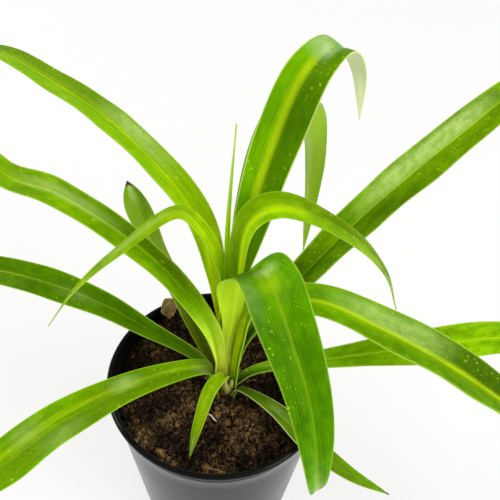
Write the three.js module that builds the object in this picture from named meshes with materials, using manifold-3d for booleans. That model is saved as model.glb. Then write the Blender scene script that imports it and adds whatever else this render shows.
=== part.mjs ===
// Potted spider plant: a tapered nursery pot, its soil, and a crown with fleshy roots and long arching
// leaves. Millimetres, +Z up, origin at the centre of the pot's flat underside. -Y is the side seen first.
import * as THREE from 'three';
import { mergeVertices } from 'three/addons/utils/BufferGeometryUtils.js';
import Module from 'manifold-3d';

const wasm = await Module();
wasm.setup();

// Driving dimensions
const gap = 0.3;
const pot = {
  height: 105, lipRadius: 60, lipHeight: 3.6, lipRound: 1, lipWidth: 2.6, topRadius: 57.5,
  footRadius: 45, footRound: 1, wall: 1.3, floor: 1.8, bandDrop: 9, bandRise: 0.5,
  drainRadius: 4.5, drainRing: 33, drainCount: 8, drainSides: 16, sides: 64,
};
const soil = {
  level: 96.5, wallFit: 0.4, dip: 1.6, dipStart: 38, dipWidth: 18, rings: 15, sectors: 48,
  lumps: [
    { rise: 0.7, waveX: 0.31, waveY: 0.19, shift: 1.3 },
    { rise: 0.55, waveX: 0.62, waveY: -0.5, shift: 2.1 },
    { rise: 0.4, waveX: 0.23, waveY: 0.81, shift: 0.4 },
  ],
};
const crown = {
  centre: [4, -0.5], top: 111, radius: 9.2, shoulder: 98, bottom: 90, footRound: 2, domePower: 2.2,
  domeSteps: 6, sides: 32,
};
const root = { count: 5, length: 44, thick: 2.6, thin: 1.1, lean: 20, ringRadius: 4.5, sink: 4, sides: 10 };
const chip = { size: [5, 9.5, 14], lean: 14, reach: 52.8, around: 124, sink: 0.3 };
const blade = {
  thickness: 0.9, edgeThickness: 0.6, step: 10.5, tipWidth: 1.1, rootLength: 8, arch: 0.06,
  unfoldedBy: 0.6, waveLength: 46, waveRise: 0.7, waveWidth: 16,
};

// Each leaf leaves the crown at its foot and heads away at an angle from +X, seen from above. Its route
// lists points along the midrib as [outwards, upwards, to the left] from the foot. Width is the widest,
// footWidth the share of it at the foot, and grow the share of the length over which it widens. A large
// taper keeps the leaf wide up to a short tip. Fold is how far each half stands up from flat at the foot
// and past the middle, and roll turns the blade about its midrib at the foot, the middle and the tip.
const leaves = {
  leaf_back_left_long: {
    heading: 130, foot: [1, 3, 109], width: 17, footWidth: 0.2, grow: 0.3, taper: 5,
    fold: [48, 14], roll: [3, -2, -15],
    route: [[0, 18, -3], [5, 44, -2], [22, 98, -1], [80, 113, 0], [140, 108, 2], [200, 96, 4], [250, 62, 2]],
  },
  leaf_left_upper: {
    heading: 146, foot: [-1.5, -1.5, 106], width: 16.6, footWidth: 0.31, grow: 0.2, taper: 8,
    fold: [64, 29], roll: [-19, -36, -8],
    route: [[-1.5, 26.5, 2], [6, 47, 1], [35.5, 70.5, 0], [94.5, 85, 2],
            [124.5, 82, 5], [154, 79, 0.5], [210, 45, 0]],
  },
  leaf_left_lower: {
    heading: 160, foot: [-4.5, 2, 104], width: 18, footWidth: 0.38, grow: 0.5, taper: 5,
    fold: [46, 20], roll: [-20, -36, -18],
    route: [[7, 10, -1], [36, 26, 1], [64, 36, 1], [101, 40, 2], [145, 32, 2], [185, 10, 2]],
  },
  leaf_front_left_wide: {
    heading: 205, foot: [-3.5, -4, 103], width: 25, footWidth: 0.38, grow: 0.62, taper: 6,
    fold: [32, 12], roll: [-11, -12, -11],
    route: [[2.5, 13.5, -1.5], [34.5, 26, 1], [79.5, 18.5, 1],
            [110, 5, 3], [149.5, -15.5, 3.5], [182, -42, 5]],
  },
  leaf_front_short: {
    heading: 245, foot: [2.5, -7, 106], width: 8.3, footWidth: 0.36, grow: 0.4, taper: 2.8,
    fold: [39, 20], roll: [-5, -11, -2],
    route: [[1, 12, 1.5], [16, 19, 0.5], [32.5, 12, 2], [42.5, -7.5, 1.5]],
  },
  leaf_tall_back: {
    heading: 60, foot: [5.5, 3.5, 109], width: 28.9, footWidth: 0.14, grow: 0.74, taper: 3.7,
    fold: [48, 11], roll: [29, 12, 8],
    route: [[5.5, 22, -2], [4, 51, 1], [13, 93.5, -1], [40.5, 134, -0.5],
            [53.5, 161.5, -6], [76.5, 162, -8.5], [93.5, 141, -14], [89, 117.5, -20.5]],
  },
  leaf_back_hanging: {
    heading: 66, foot: [5, 7, 104.5], width: 20, footWidth: 0.2, grow: 0.4, taper: 4,
    fold: [55, 10], roll: [0, 8, 0],
    route: [[4, 23, 0], [10, 61, 0], [31, 113, 0], [60, 131, 0], [92, 118, 0], [123, 52, 0], [124, -28, 0]],
  },
  leaf_right_upper: {
    heading: 40, foot: [9.5, 3, 105], width: 24.5, footWidth: 0.18, grow: 0.25, taper: 5.5,
    fold: [64, 26], roll: [16, 24, 15],
    route: [[10, 18, 3], [28, 35, 2], [85, 68, -1], [146, 93, -6], [205, 101, -6], [262, 76, -7]],
  },
  leaf_centre_arching: {
    heading: 12, foot: [8, -1, 110], width: 15.5, footWidth: 0.18, grow: 0.55, taper: 2.7,
    fold: [50, 4], roll: [30, 25, 20],
    route: [[1, 27, 4], [1, 67, 4], [6, 115, 2], [18, 120, 2], [51, 98, 1], [75, 67, 0], [87, 34, 0]],
  },
  leaf_front_drooping: {
    heading: -66, foot: [4, -4, 108], width: 28, footWidth: 0.1, grow: 0.56, taper: 3.7,
    fold: [22, 9], roll: [-32, 12, -17],
    route: [[-0.5, 23.5, 0], [0, 48.5, 2.5], [9.5, 91, 1], [22, 109, 4.5], [40.5, 118, 1.5],
            [50.5, 120, -1], [80.5, 93, -0.5], [97, 59.5, -2], [89.5, 32, 3]],
  },
  leaf_right_front: {
    heading: -8, foot: [8, -5, 104], width: 24.9, footWidth: 0.2, grow: 0.6, taper: 5.8,
    fold: [25, 24], roll: [50, 20, 27],
    route: [[3, 37, 2], [9.5, 64, 7.5], [39, 75, 3.5], [67, 66, 0.5],
            [101.5, 48, -1.5], [136.5, 23, -2.5], [195, -28, -2]],
  },
  leaf_right_low: {
    heading: 10, foot: [11, -1.5, 101], width: 22, footWidth: 0.36, grow: 0.55, taper: 5,
    fold: [52, 22], roll: [0, 34, 14],
    route: [[9, 7, 1], [50, 13, -1], [100, 16, -3], [152, 15, -4], [210, -12, -5]],
  },
  leaf_front_right_low: {
    heading: -42, foot: [8.5, -7.5, 98], width: 12, footWidth: 0.35, grow: 0.6, taper: 4,
    fold: [45, 14], roll: [-10, 8, 10],
    route: [[5, 10, 0], [28, 16, 0], [51, 13, -1], [76, 7, 2], [96, 2, 9]],
  },
  leaf_left_small: {
    heading: 178, foot: [1.5, -1, 110], width: 9.2, footWidth: 0.22, grow: 0.58, taper: 1.8,
    fold: [43, 9], roll: [-14, -47, 18],
    route: [[1.5, 32.5, -1.5], [1, 83, -1.5], [13, 116, 1], [20, 120, 0.5],
            [46, 98.5, 4.5], [68.5, 70.5, 3.5], [88, 34, -1]],
  },
  leaf_back_left_short: {
    heading: 120, foot: [-0.5, 6.5, 102], width: 19.9, footWidth: 0.36, grow: 0.77, taper: 10,
    fold: [52, 6], roll: [-42, 36, -10],
    route: [[28, 15.5, 3], [44.5, 25.5, 3], [75.5, 43.5, 4], [106, 55.5, 1]],
  },
  leaf_young_upright: {
    heading: 80, foot: [4.5, 1, 111], width: 2.6, footWidth: 0.8, grow: 0.5, taper: 2.5,
    fold: [44, 24], roll: [14, 14, -4],
    route: [[-1, 36, 1], [-1.5, 62.5, 0], [0, 102, 1.5], [8, 159.5, 0.5]],
  },
};

// Solids, joined and cut
function toSolid(geometry) {
  const plain = geometry.clone();
  plain.deleteAttribute('normal');
  plain.deleteAttribute('uv');
  const merged = mergeVertices(plain, 1e-4);
  return new wasm.Manifold(new wasm.Mesh({
    numProp: 3,
    vertProperties: new Float32Array(merged.attributes.position.array),
    triVerts: new Uint32Array(merged.index.array),
  }));
}

function toGeometry(solid) {
  const mesh = solid.getMesh();
  const geometry = new THREE.BufferGeometry();
  geometry.setAttribute('position', new THREE.BufferAttribute(new Float32Array(mesh.vertProperties), 3));
  geometry.setIndex(new THREE.BufferAttribute(new Uint32Array(mesh.triVerts), 1));
  geometry.computeVertexNormals();
  return geometry;
}

function largestPiece(solid) {
  const pieces = solid.decompose();
  return pieces.reduce((a, b) => (b.volume() > a.volume() ? b : a));
}

// A lathe turned about Z from [radius, height] points that start and end on the axis
function turned(profile, sides) {
  const points = profile.map(([radius, height]) => new THREE.Vector2(radius, height));
  return new THREE.LatheGeometry(points, sides).rotateX(Math.PI / 2);
}

function part(name, geometry, finish) {
  const mesh = new THREE.Mesh(geometry, new THREE.MeshStandardMaterial({ metalness: 0, ...finish }));
  mesh.name = name;
  return mesh;
}

const smooth = (x) => {
  const k = THREE.MathUtils.clamp(x, 0, 1);
  return k * k * (3 - 2 * k);
};

// Pot: a thin tapered wall with a rounded lip that stands proud and a shallow band under it
function wallRadius(height) {
  return pot.footRadius + (pot.topRadius - pot.footRadius) * (height / (pot.height - pot.lipHeight));
}

function makePot() {
  const { height, lipRadius, lipHeight, lipRound, footRadius, footRound, wall, floor, bandRise } = pot;
  const lipFoot = height - lipHeight;
  const bandFoot = lipFoot - pot.bandDrop;
  const innerFoot = wallRadius(floor) - wall;
  const innerTop = wallRadius(lipFoot) - wall;
  const profile = [
    [0, 0],
    [footRadius - footRound, 0],
    [footRadius, footRound],
    [wallRadius(bandFoot - 2 * bandRise), bandFoot - 2 * bandRise],
    [wallRadius(bandFoot) + bandRise, bandFoot],
    [wallRadius(lipFoot) + bandRise, lipFoot],
    [lipRadius, lipFoot + lipRound / 2],
    [lipRadius, height - lipRound],
    [lipRadius - lipRound, height],
    [lipRadius - pot.lipWidth, height],
    [innerTop, height - lipRound * 1.5],
    [innerFoot, floor],
    [0, floor],
  ];
  let body = toSolid(turned(profile, pot.sides));
  for (let i = 0; i < pot.drainCount; i += 1) {
    const turn = ((i + 0.5) * 2 * Math.PI) / pot.drainCount;
    const hole = new THREE.CylinderGeometry(pot.drainRadius, pot.drainRadius, floor * 4, pot.drainSides);
    hole.rotateX(Math.PI / 2);
    hole.translate(Math.cos(turn) * pot.drainRing, Math.sin(turn) * pot.drainRing, 0);
    body = body.subtract(toSolid(hole));
  }
  return toGeometry(body);
}

// Crown: a domed neck and its fleshy roots, grown as one piece. Let out, it also cuts its hole in the soil.
function domeHeight(radius) {
  const k = Math.min(radius / crown.radius, 1);
  return crown.shoulder + (crown.top - crown.shoulder) * (1 - k ** crown.domePower);
}

function makeCrown(out) {
  const { bottom, footRound, domeSteps } = crown;
  const radius = crown.radius + out;
  const profile = [[0, bottom - out], [radius - footRound, bottom - out], [radius, bottom + footRound]];
  for (let i = 0; i < domeSteps; i += 1) {
    const r = crown.radius * Math.cos((i / domeSteps) * (Math.PI / 2));
    profile.push([r + (out * r) / crown.radius, domeHeight(r) + out]);
  }
  profile.push([0, crown.top + out]);
  let body = toSolid(turned(profile, crown.sides).translate(...crown.centre, 0));
  for (let i = 0; i < root.count; i += 1) {
    const length = root.length + 2 * out;
    const cone = new THREE.CylinderGeometry(root.thick + out, root.thin + out, length, root.sides);
    cone.rotateX(Math.PI / 2);
    cone.translate(0, 0, -root.length / 2);
    cone.rotateY(-THREE.MathUtils.degToRad(root.lean));
    cone.translate(root.ringRadius, 0, bottom + root.sink);
    cone.rotateZ(((i + 0.3) * 2 * Math.PI) / root.count);
    cone.translate(...crown.centre, 0);
    body = body.add(toSolid(cone));
  }
  return body;
}

// Soil: fills the pot to below the lip, with a lumpy top that dips to the wall
function soilHeight(x, y) {
  let height = soil.level - soil.dip * smooth((Math.hypot(x, y) - soil.dipStart) / soil.dipWidth);
  for (const { rise, waveX, waveY, shift } of soil.lumps) {
    height += rise * Math.sin(x * waveX + y * waveY + shift);
  }
  return height;
}

function makeSoil(crownHole) {
  const { rings, sectors } = soil;
  const bottom = pot.floor + gap;
  const topRadius = wallRadius(soil.level - 2 * soil.dip) - pot.wall - soil.wallFit;
  const footRadius = wallRadius(bottom) - pot.wall - soil.wallFit;
  const positions = [];
  const faces = [];
  const rows = [];
  const addRing = (radius, height) => {
    const row = [];
    for (let j = 0; j < sectors; j += 1) {
      const turn = (j * 2 * Math.PI) / sectors;
      const x = radius * Math.cos(turn);
      const y = radius * Math.sin(turn);
      row.push(positions.length / 3);
      positions.push(x, y, height === null ? soilHeight(x, y) : height);
    }
    rows.push(row);
  };
  positions.push(0, 0, bottom);
  addRing(footRadius, bottom);
  for (let i = rings; i > 0; i -= 1) addRing((topRadius * i) / rings, null);
  positions.push(0, 0, soilHeight(0, 0));
  const apex = positions.length / 3 - 1;
  for (let j = 0; j < sectors; j += 1) {
    const k = (j + 1) % sectors;
    faces.push(0, rows[0][k], rows[0][j]);
    faces.push(apex, rows[rings][j], rows[rings][k]);
    for (let i = 0; i < rings; i += 1) {
      faces.push(rows[i][j], rows[i][k], rows[i + 1][k]);
      faces.push(rows[i][j], rows[i + 1][k], rows[i + 1][j]);
    }
  }
  const geometry = new THREE.BufferGeometry();
  geometry.setAttribute('position', new THREE.BufferAttribute(new Float32Array(positions), 3));
  geometry.setIndex(faces);
  return toGeometry(largestPiece(toSolid(geometry).subtract(crownHole)));
}

// Bark chip: a rough slip that stands on the soil and leans out over the lip
function makeChip() {
  const slip = new THREE.IcosahedronGeometry(0.5, 2);
  const p = slip.attributes.position;
  for (let i = 0; i < p.count; i += 1) {
    const v = new THREE.Vector3().fromBufferAttribute(p, i);
    const rough = 1 + 0.1 * Math.sin(v.x * 11 + v.y * 7) + 0.08 * Math.cos(v.z * 13 - v.x * 9);
    v.multiplyScalar(rough).multiply(new THREE.Vector3(...chip.size));
    p.setXYZ(i, v.x, v.y, v.z);
  }
  slip.rotateY(THREE.MathUtils.degToRad(chip.lean));
  slip.translate(chip.reach, 0, 0);
  slip.rotateZ(THREE.MathUtils.degToRad(chip.around));
  let lift = 0;
  for (let i = 0; i < p.count; i += 1) {
    lift = Math.max(lift, soilHeight(p.getX(i), p.getY(i)) - p.getZ(i));
  }
  slip.translate(0, 0, lift - chip.sink);
  return toGeometry(toSolid(slip));
}

// Midrib points, evenly spaced, from a little below the foot to the tip
function midribPoints(leaf) {
  const turn = THREE.MathUtils.degToRad(leaf.heading);
  const outwards = new THREE.Vector3(Math.cos(turn), Math.sin(turn), 0);
  const left = new THREE.Vector3(-Math.sin(turn), Math.cos(turn), 0);
  const foot = new THREE.Vector3(...leaf.foot);
  const points = leaf.route.map(([out, up, side]) => foot.clone()
    .addScaledVector(outwards, out)
    .add(new THREE.Vector3(0, 0, up))
    .addScaledVector(left, side));
  const curve = new THREE.CatmullRomCurve3([foot, ...points], false, 'centripetal');
  const count = Math.ceil(curve.getLength() / blade.step);
  const spaced = curve.getSpacedPoints(count);
  const start = spaced[0].clone().sub(spaced[1]).normalize().multiplyScalar(blade.rootLength).add(foot);
  return { points: [start, ...spaced], left };
}

function leafWidth(leaf, t) {
  const widening = leaf.footWidth + (1 - leaf.footWidth) * smooth(t / leaf.grow);
  return Math.max(leaf.width * widening * (1 - t ** leaf.taper), blade.tipWidth);
}

// Value at the foot, the middle and the tip, joined by a parabola
function along([foot, middle, tip], t) {
  return foot * (1 - t) * (1 - 2 * t) + middle * 4 * t * (1 - t) + tip * t * (2 * t - 1);
}

// Blade: at each station five points across the upper face and five under them, split alike on both faces
function makeBlade(leaf) {
  const { points, left } = midribPoints(leaf);
  const last = points.length - 1;
  const across = [-1, -0.5, 0, 0.5, 1];
  const ringSize = across.length * 2;
  const positions = [];
  const faces = [];
  points.forEach((centre, i) => {
    const t = Math.max(i - 1, 0) / (last - 1);
    const before = points[Math.max(i - 1, 0)];
    const after = points[Math.min(i + 1, last)];
    const tangent = after.clone().sub(before).normalize();
    const flat = left.clone().addScaledVector(tangent, -left.dot(tangent)).normalize();
    const up = tangent.clone().cross(flat);
    const roll = THREE.MathUtils.degToRad(along(leaf.roll, t));
    const sideways = flat.clone().multiplyScalar(Math.cos(roll)).addScaledVector(up, Math.sin(roll));
    const normal = up.clone().multiplyScalar(Math.cos(roll)).addScaledVector(flat, -Math.sin(roll));
    const unfolded = smooth(t / blade.unfoldedBy);
    const fold = THREE.MathUtils.degToRad(THREE.MathUtils.lerp(leaf.fold[0], leaf.fold[1], unfolded));
    const half = leafWidth(leaf, t) / 2;
    const travel = (i * blade.step * 2 * Math.PI) / blade.waveLength;
    const wave = blade.waveRise * smooth(t / 0.4) * smooth((1 - t) / 0.2) * (2 * half / blade.waveWidth);
    const faceRow = (sign) => across.map((u) => {
      const hand = Math.sign(u);
      const reach = half * Math.abs(u);
      const ripple = wave * u * u * Math.sin(travel + leaf.heading + hand);
      const raise = (Math.abs(u) === 0.5 ? half * blade.arch : 0) + ripple;
      const thick = Math.abs(u) === 1 ? blade.edgeThickness : blade.thickness;
      const slope = u === 0 ? 0 : fold;
      const skin = (sign * thick) / 2 / (u === 0 ? Math.max(Math.cos(fold), 0.6) : 1);
      const rise = reach * Math.sin(fold) + (raise + skin) * Math.cos(slope);
      const run = hand * (reach * Math.cos(fold) - (raise + skin) * Math.sin(slope));
      return centre.clone().addScaledVector(sideways, run).addScaledVector(normal, rise);
    });
    const ring = [...faceRow(1), ...faceRow(-1).reverse()];
    ring.forEach((v) => positions.push(v.x, v.y, v.z));
  });
  for (let i = 0; i < last; i += 1) {
    for (let j = 0; j < ringSize; j += 1) {
      const k = (j + 1) % ringSize;
      const a = i * ringSize + j;
      const b = i * ringSize + k;
      const c = a + ringSize;
      const d = b + ringSize;
      if (j < across.length) faces.push(a, d, b, a, c, d);
      else faces.push(a, c, b, b, c, d);
    }
  }
  for (let j = 0; j < across.length - 1; j += 1) {
    const top = j;
    const under = ringSize - 1 - j;
    const end = last * ringSize;
    faces.push(top, top + 1, under, top + 1, under - 1, under);
    faces.push(end + top, end + under, end + top + 1, end + top + 1, end + under, end + under - 1);
  }
  const geometry = new THREE.BufferGeometry();
  geometry.setAttribute('position', new THREE.BufferAttribute(new Float32Array(positions), 3));
  geometry.setIndex(faces);
  return geometry;
}

const plant = new THREE.Group();
const crownClearance = makeCrown(gap);
plant.add(part('pot', makePot(), { color: 0x17181a, roughness: 0.32 }));
plant.add(part('soil', makeSoil(crownClearance), { color: 0x2a1c12, roughness: 0.95 }));
plant.add(part('crown', toGeometry(makeCrown(0)), { color: 0xb9c08a, roughness: 0.6 }));
plant.add(part('bark_chip', makeChip(), { color: 0x8a6a45, roughness: 0.9 }));
for (const [name, leaf] of Object.entries(leaves)) {
  const trimmed = largestPiece(toSolid(makeBlade(leaf)).subtract(crownClearance));
  plant.add(part(name, toGeometry(trimmed), { color: 0x5f9a1f, roughness: 0.42 }));
}

export default plant;
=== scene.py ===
import math
import random
from functools import partial

import bmesh
import bpy
from mathutils import Matrix, Vector, noise


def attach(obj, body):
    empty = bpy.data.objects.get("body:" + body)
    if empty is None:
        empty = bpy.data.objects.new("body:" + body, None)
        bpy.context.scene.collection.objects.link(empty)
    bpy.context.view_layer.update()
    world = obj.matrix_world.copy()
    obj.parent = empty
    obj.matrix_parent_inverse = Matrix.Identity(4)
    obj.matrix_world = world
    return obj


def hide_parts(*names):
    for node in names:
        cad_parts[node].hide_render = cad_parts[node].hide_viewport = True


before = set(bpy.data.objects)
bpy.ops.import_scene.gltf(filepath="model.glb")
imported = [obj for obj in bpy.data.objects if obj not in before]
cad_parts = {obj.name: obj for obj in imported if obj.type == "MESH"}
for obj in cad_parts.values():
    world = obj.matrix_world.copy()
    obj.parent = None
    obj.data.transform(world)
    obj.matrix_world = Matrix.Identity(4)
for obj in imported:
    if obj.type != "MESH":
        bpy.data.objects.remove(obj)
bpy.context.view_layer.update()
mm = 0.001
print("frame loaded:", len(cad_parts), "nodes")


# Colours are typed as they look on screen, 0 to 255, and turned into the linear values that shaders use
def tint(red, green, blue):
    def linear(level):
        share = level / 255
        return share / 12.92 if share <= 0.04045 else ((share + 0.055) / 1.055) ** 2.4
    return (linear(red), linear(green), linear(blue), 1.0)


def smooth(x):
    k = min(max(x, 0.0), 1.0)
    return k * k * (3 - 2 * k)


# Small helpers for node trees. A value that is a socket is linked, any other value is set, and a helper that
# isn't given a tree works in the tree of the sockets among its values.
def plug(socket, value):
    if isinstance(value, bpy.types.NodeSocket):
        socket.id_data.links.new(value, socket)
    else:
        socket.default_value = value


def treeOf(*values):
    return next(value.id_data for value in values if isinstance(value, bpy.types.NodeSocket))


def addNode(tree, kind, inputs=None, **settings):
    made = tree.nodes.new(kind)
    for name, value in settings.items():
        setattr(made, name, value)
    for key, value in (inputs or {}).items():
        plug(made.inputs[key], value)
    return made


def calc(operation, *values, clamp=False):
    made = addNode(treeOf(*values), "ShaderNodeMath", operation=operation, use_clamp=clamp)
    for socket, value in zip(made.inputs, values):
        plug(socket, value)
    return made.outputs[0]


times = partial(calc, "MULTIPLY")
timesPlus = partial(calc, "MULTIPLY_ADD")
plus = partial(calc, "ADD")
minus = partial(calc, "SUBTRACT")


def calcVector(operation, first, second=None, scale=None):
    made = addNode(treeOf(first), "ShaderNodeVectorMath", operation=operation)
    plug(made.inputs[0], first)
    if second is not None:
        plug(made.inputs[1], second)
    if scale is not None:
        plug(made.inputs["Scale"], scale)
    return made.outputs["Value" if operation in ("DOT_PRODUCT", "LENGTH", "DISTANCE") else "Vector"]


def scaled(vector, factor):
    return calcVector("SCALE", vector, scale=factor)


def centred(colour):
    return calcVector("SUBTRACT", colour, (0.5, 0.5, 0.5))


def axesOf(vector):
    return addNode(treeOf(vector), "ShaderNodeSeparateXYZ", {"Vector": vector}).outputs


def mapRange(value, fromLow, fromHigh, toLow=0.0, toHigh=1.0, kind="SMOOTHSTEP"):
    made = addNode(treeOf(value), "ShaderNodeMapRange", interpolation_type=kind)
    for socket, given in zip(made.inputs[:5], (value, fromLow, fromHigh, toLow, toHigh)):
        plug(socket, given)
    return made.outputs["Result"]


def combine(x, y, z):
    return addNode(treeOf(x, y, z), "ShaderNodeCombineXYZ", {"X": x, "Y": y, "Z": z}).outputs[0]


def mixColour(factor, first, second, mode="MIX"):
    made = addNode(treeOf(factor, first, second), "ShaderNodeMix", data_type="RGBA", blend_type=mode)
    plug(made.inputs[0], factor)
    plug(made.inputs[6], first)
    plug(made.inputs[7], second)
    return made.outputs[2]


def darkened(colour, factor):
    return mixColour(1.0, colour, combine(factor, factor, factor), "MULTIPLY")


def noiseAt(place, scale, detail=2.0, roughness=0.5, output="Fac"):
    made = addNode(treeOf(place), "ShaderNodeTexNoise",
                   {"Vector": place, "Scale": scale, "Detail": detail, "Roughness": roughness})
    return made.outputs[output]


def readAttribute(tree, name, output="Fac"):
    return addNode(tree, "ShaderNodeAttribute", attribute_name=name).outputs[output]


def newFinish(name):
    finish = bpy.data.materials.new(name)
    finish.use_nodes = True
    tree = finish.node_tree
    return finish, tree, tree.nodes["Principled BSDF"]


def objectPlace(tree):
    return addNode(tree, "ShaderNodeTexCoord").outputs["Object"]


def bump(shader, height, distance, strength=1.0):
    made = addNode(treeOf(height), "ShaderNodeBump",
                   {"Height": height, "Distance": distance, "Strength": strength})
    plug(shader.inputs["Normal"], made.outputs[0])


def setInputs(shader, values):
    for name, value in values.items():
        plug(shader.inputs[name], value)


def addObject(name, data):
    made = bpy.data.objects.new(name, data)
    bpy.context.scene.collection.objects.link(made)
    return made


# The plain mesh that an object's modifiers make of it
def appliedMesh(piece):
    graph = bpy.context.evaluated_depsgraph_get()
    return bpy.data.meshes.new_from_object(piece.evaluated_get(graph), depsgraph=graph)


# Geometry Nodes helpers: a tree with named inputs, its end, and the plain mesh it makes of a source object
def newGeometryTree(name, sockets):
    tree = bpy.data.node_groups.new(name, "GeometryNodeTree")
    tree.interface.new_socket("Geometry", in_out="INPUT", socket_type="NodeSocketGeometry")
    tree.interface.new_socket("Geometry", in_out="OUTPUT", socket_type="NodeSocketGeometry")
    for label, kind in sockets.items():
        tree.interface.new_socket(label, in_out="INPUT", socket_type="NodeSocket" + kind)
    given = tree.nodes.new("NodeGroupInput").outputs
    return tree, given, tree.nodes.new("NodeGroupOutput").inputs["Geometry"]


def smoothed(geometry):
    return addNode(treeOf(geometry), "GeometryNodeSetShadeSmooth",
                   {"Geometry": geometry, "Shade Smooth": True})


def endTree(geometry, finish, result):
    real = addNode(treeOf(geometry), "GeometryNodeRealizeInstances", {"Geometry": geometry})
    coloured = addNode(treeOf(geometry), "GeometryNodeSetMaterial",
                       {"Geometry": real.outputs[0], "Material": finish})
    plug(result, coloured.outputs[0])


def grown(source, tree, values, name):
    modifier = source.modifiers.new(tree.name, "NODES")
    modifier.node_group = tree
    for item in tree.interface.items_tree:
        if item.item_type == "SOCKET" and item.in_out == "INPUT" and item.name in values:
            modifier[item.identifier] = values[item.name]
    mesh = appliedMesh(source)
    source.modifiers.remove(modifier)
    bpy.data.objects.remove(source)
    mesh.name = name
    return addObject(name, mesh)


def storeNamed(geometry, name, value, kind="FLOAT", domain="POINT"):
    made = addNode(treeOf(geometry), "GeometryNodeStoreNamedAttribute",
                   {"Geometry": geometry, "Name": name, "Value": value}, data_type=kind, domain=domain)
    return made.outputs["Geometry"]


def meshPiece(name, points, faces, finish):
    mesh = bpy.data.meshes.new(name)
    mesh.from_pydata([tuple(p) for p in points], [], faces)
    mesh.materials.append(finish)
    mesh.polygons.foreach_set("use_smooth", [True] * len(mesh.polygons))
    mesh.update()
    return addObject(name, mesh)


def faceOutwards(piece):
    work = bmesh.new()
    work.from_mesh(piece.data)
    bmesh.ops.remove_doubles(work, verts=work.verts, dist=1e-7)
    bmesh.ops.recalc_face_normals(work, faces=work.faces)
    work.to_mesh(piece.data)
    work.free()


def polyCurve(name, paths):
    curve = bpy.data.curves.new(name, "CURVE")
    curve.dimensions = "3D"
    for path in paths:
        spline = curve.splines.new("POLY")
        spline.points.add(len(path) - 1)
        for point, place in zip(spline.points, path):
            point.co = (*place, 1.0)
    return addObject(name, curve)


def onPlant(piece, slotName, *nodes):
    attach(piece, "root")
    if nodes:
        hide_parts(*nodes)


# Camera: where the photograph was taken from
camera = {"place": (0.0, -0.2522, 0.4763), "yaw": 3.03, "pitch": 46.94, "roll": 3.28, "lens": 58.9,
          "sensor": 36.0}
yaw, pitch, roll = (math.radians(camera[key]) for key in ("yaw", "pitch", "roll"))
ahead = Vector((math.sin(yaw) * math.cos(pitch), math.cos(yaw) * math.cos(pitch), -math.sin(pitch)))
level = ahead.cross(Vector((0, 0, 1))).normalized()
above = level.cross(ahead)
across = math.cos(roll) * level + math.sin(roll) * above
upright = math.cos(roll) * above - math.sin(roll) * level
cameraData = bpy.data.cameras.new("plantCamera")
cameraData.lens = camera["lens"]
cameraData.sensor_width = camera["sensor"]
cameraData.clip_start = 0.02
cameraObject = addObject("plantCamera", cameraData)
cameraTurn = Matrix((across, upright, -ahead)).transposed().to_4x4()
cameraObject.matrix_world = Matrix.Translation(camera["place"]) @ cameraTurn
bpy.context.scene.camera = cameraObject
print("camera set")


# Leaf finishes. Each look gives its colours along and across the blade, with left and right as seen along the
# leaf. The left, right and far shades and the shade spans are painted shade and painted light: factors on
# the colour that darken or lighten parts of the blade for how the light falls on them. A shade is its start,
# its end, its factor and its half: 1 for the left, -1 for the right, 0 for both. Each sheen and tint entry is
# its middle across, its start and end along, its strength and, where it has its own, its colour; without its
# own colour it is a painted whitish sheen.
leafLooks = {
    "mid": {
        "top": tint(150, 192, 2), "patch": tint(90, 134, 1), "foot": tint(206, 222, 24), "footReach": 0.42,
        "line": tint(204, 220, 56), "lineStrength": 0.3, "halo": tint(176, 206, 6), "haloStrength": 0.5,
        "haloWidth": 0.5, "haloShift": 0.0, "haloEnd": 2.0, "lineWidth": 1.0, "edge": tint(196, 218, 90),
        "edgeStrength": 0.35, "heel": tint(134, 122, 40), "heelReach": 0.03, "under": tint(164, 196, 44),
        "underStrength": 0.7, "veins": 0.45, "specks": 0.8, "gloss": 0.36, "leftShade": 1.0,
        "rightShade": 1.0, "farShade": 1.0, "shades": [], "sheensAndTints": [], "overlayGaps": 0.6, "evenness": 0.0,
        "shadeEdge": 0.35, "brownTip": 0.0,
    },
}
leafLooks["deep"] = {
    **leafLooks["mid"], "top": tint(128, 168, 2), "patch": tint(74, 114, 1), "foot": tint(140, 162, 8),
    "footReach": 0.3, "halo": tint(146, 180, 8), "under": tint(150, 184, 44),
}
leafLooks["young"] = {
    **leafLooks["mid"], "top": tint(166, 204, 3), "patch": tint(112, 158, 1), "foot": tint(236, 246, 30),
    "halo": tint(186, 214, 8), "haloStrength": 0.35, "lineStrength": 0.15, "veins": 0.4, "specks": 0.6,
}
leafLooks["dull"] = {
    **leafLooks["mid"], "top": tint(128, 158, 24), "patch": tint(92, 124, 10), "foot": tint(120, 132, 10),
    "footReach": 0.5, "halo": tint(144, 172, 30), "lineStrength": 0.1, "under": tint(176, 206, 84),
    "specks": 0.4, "gloss": 0.42,
}


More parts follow.
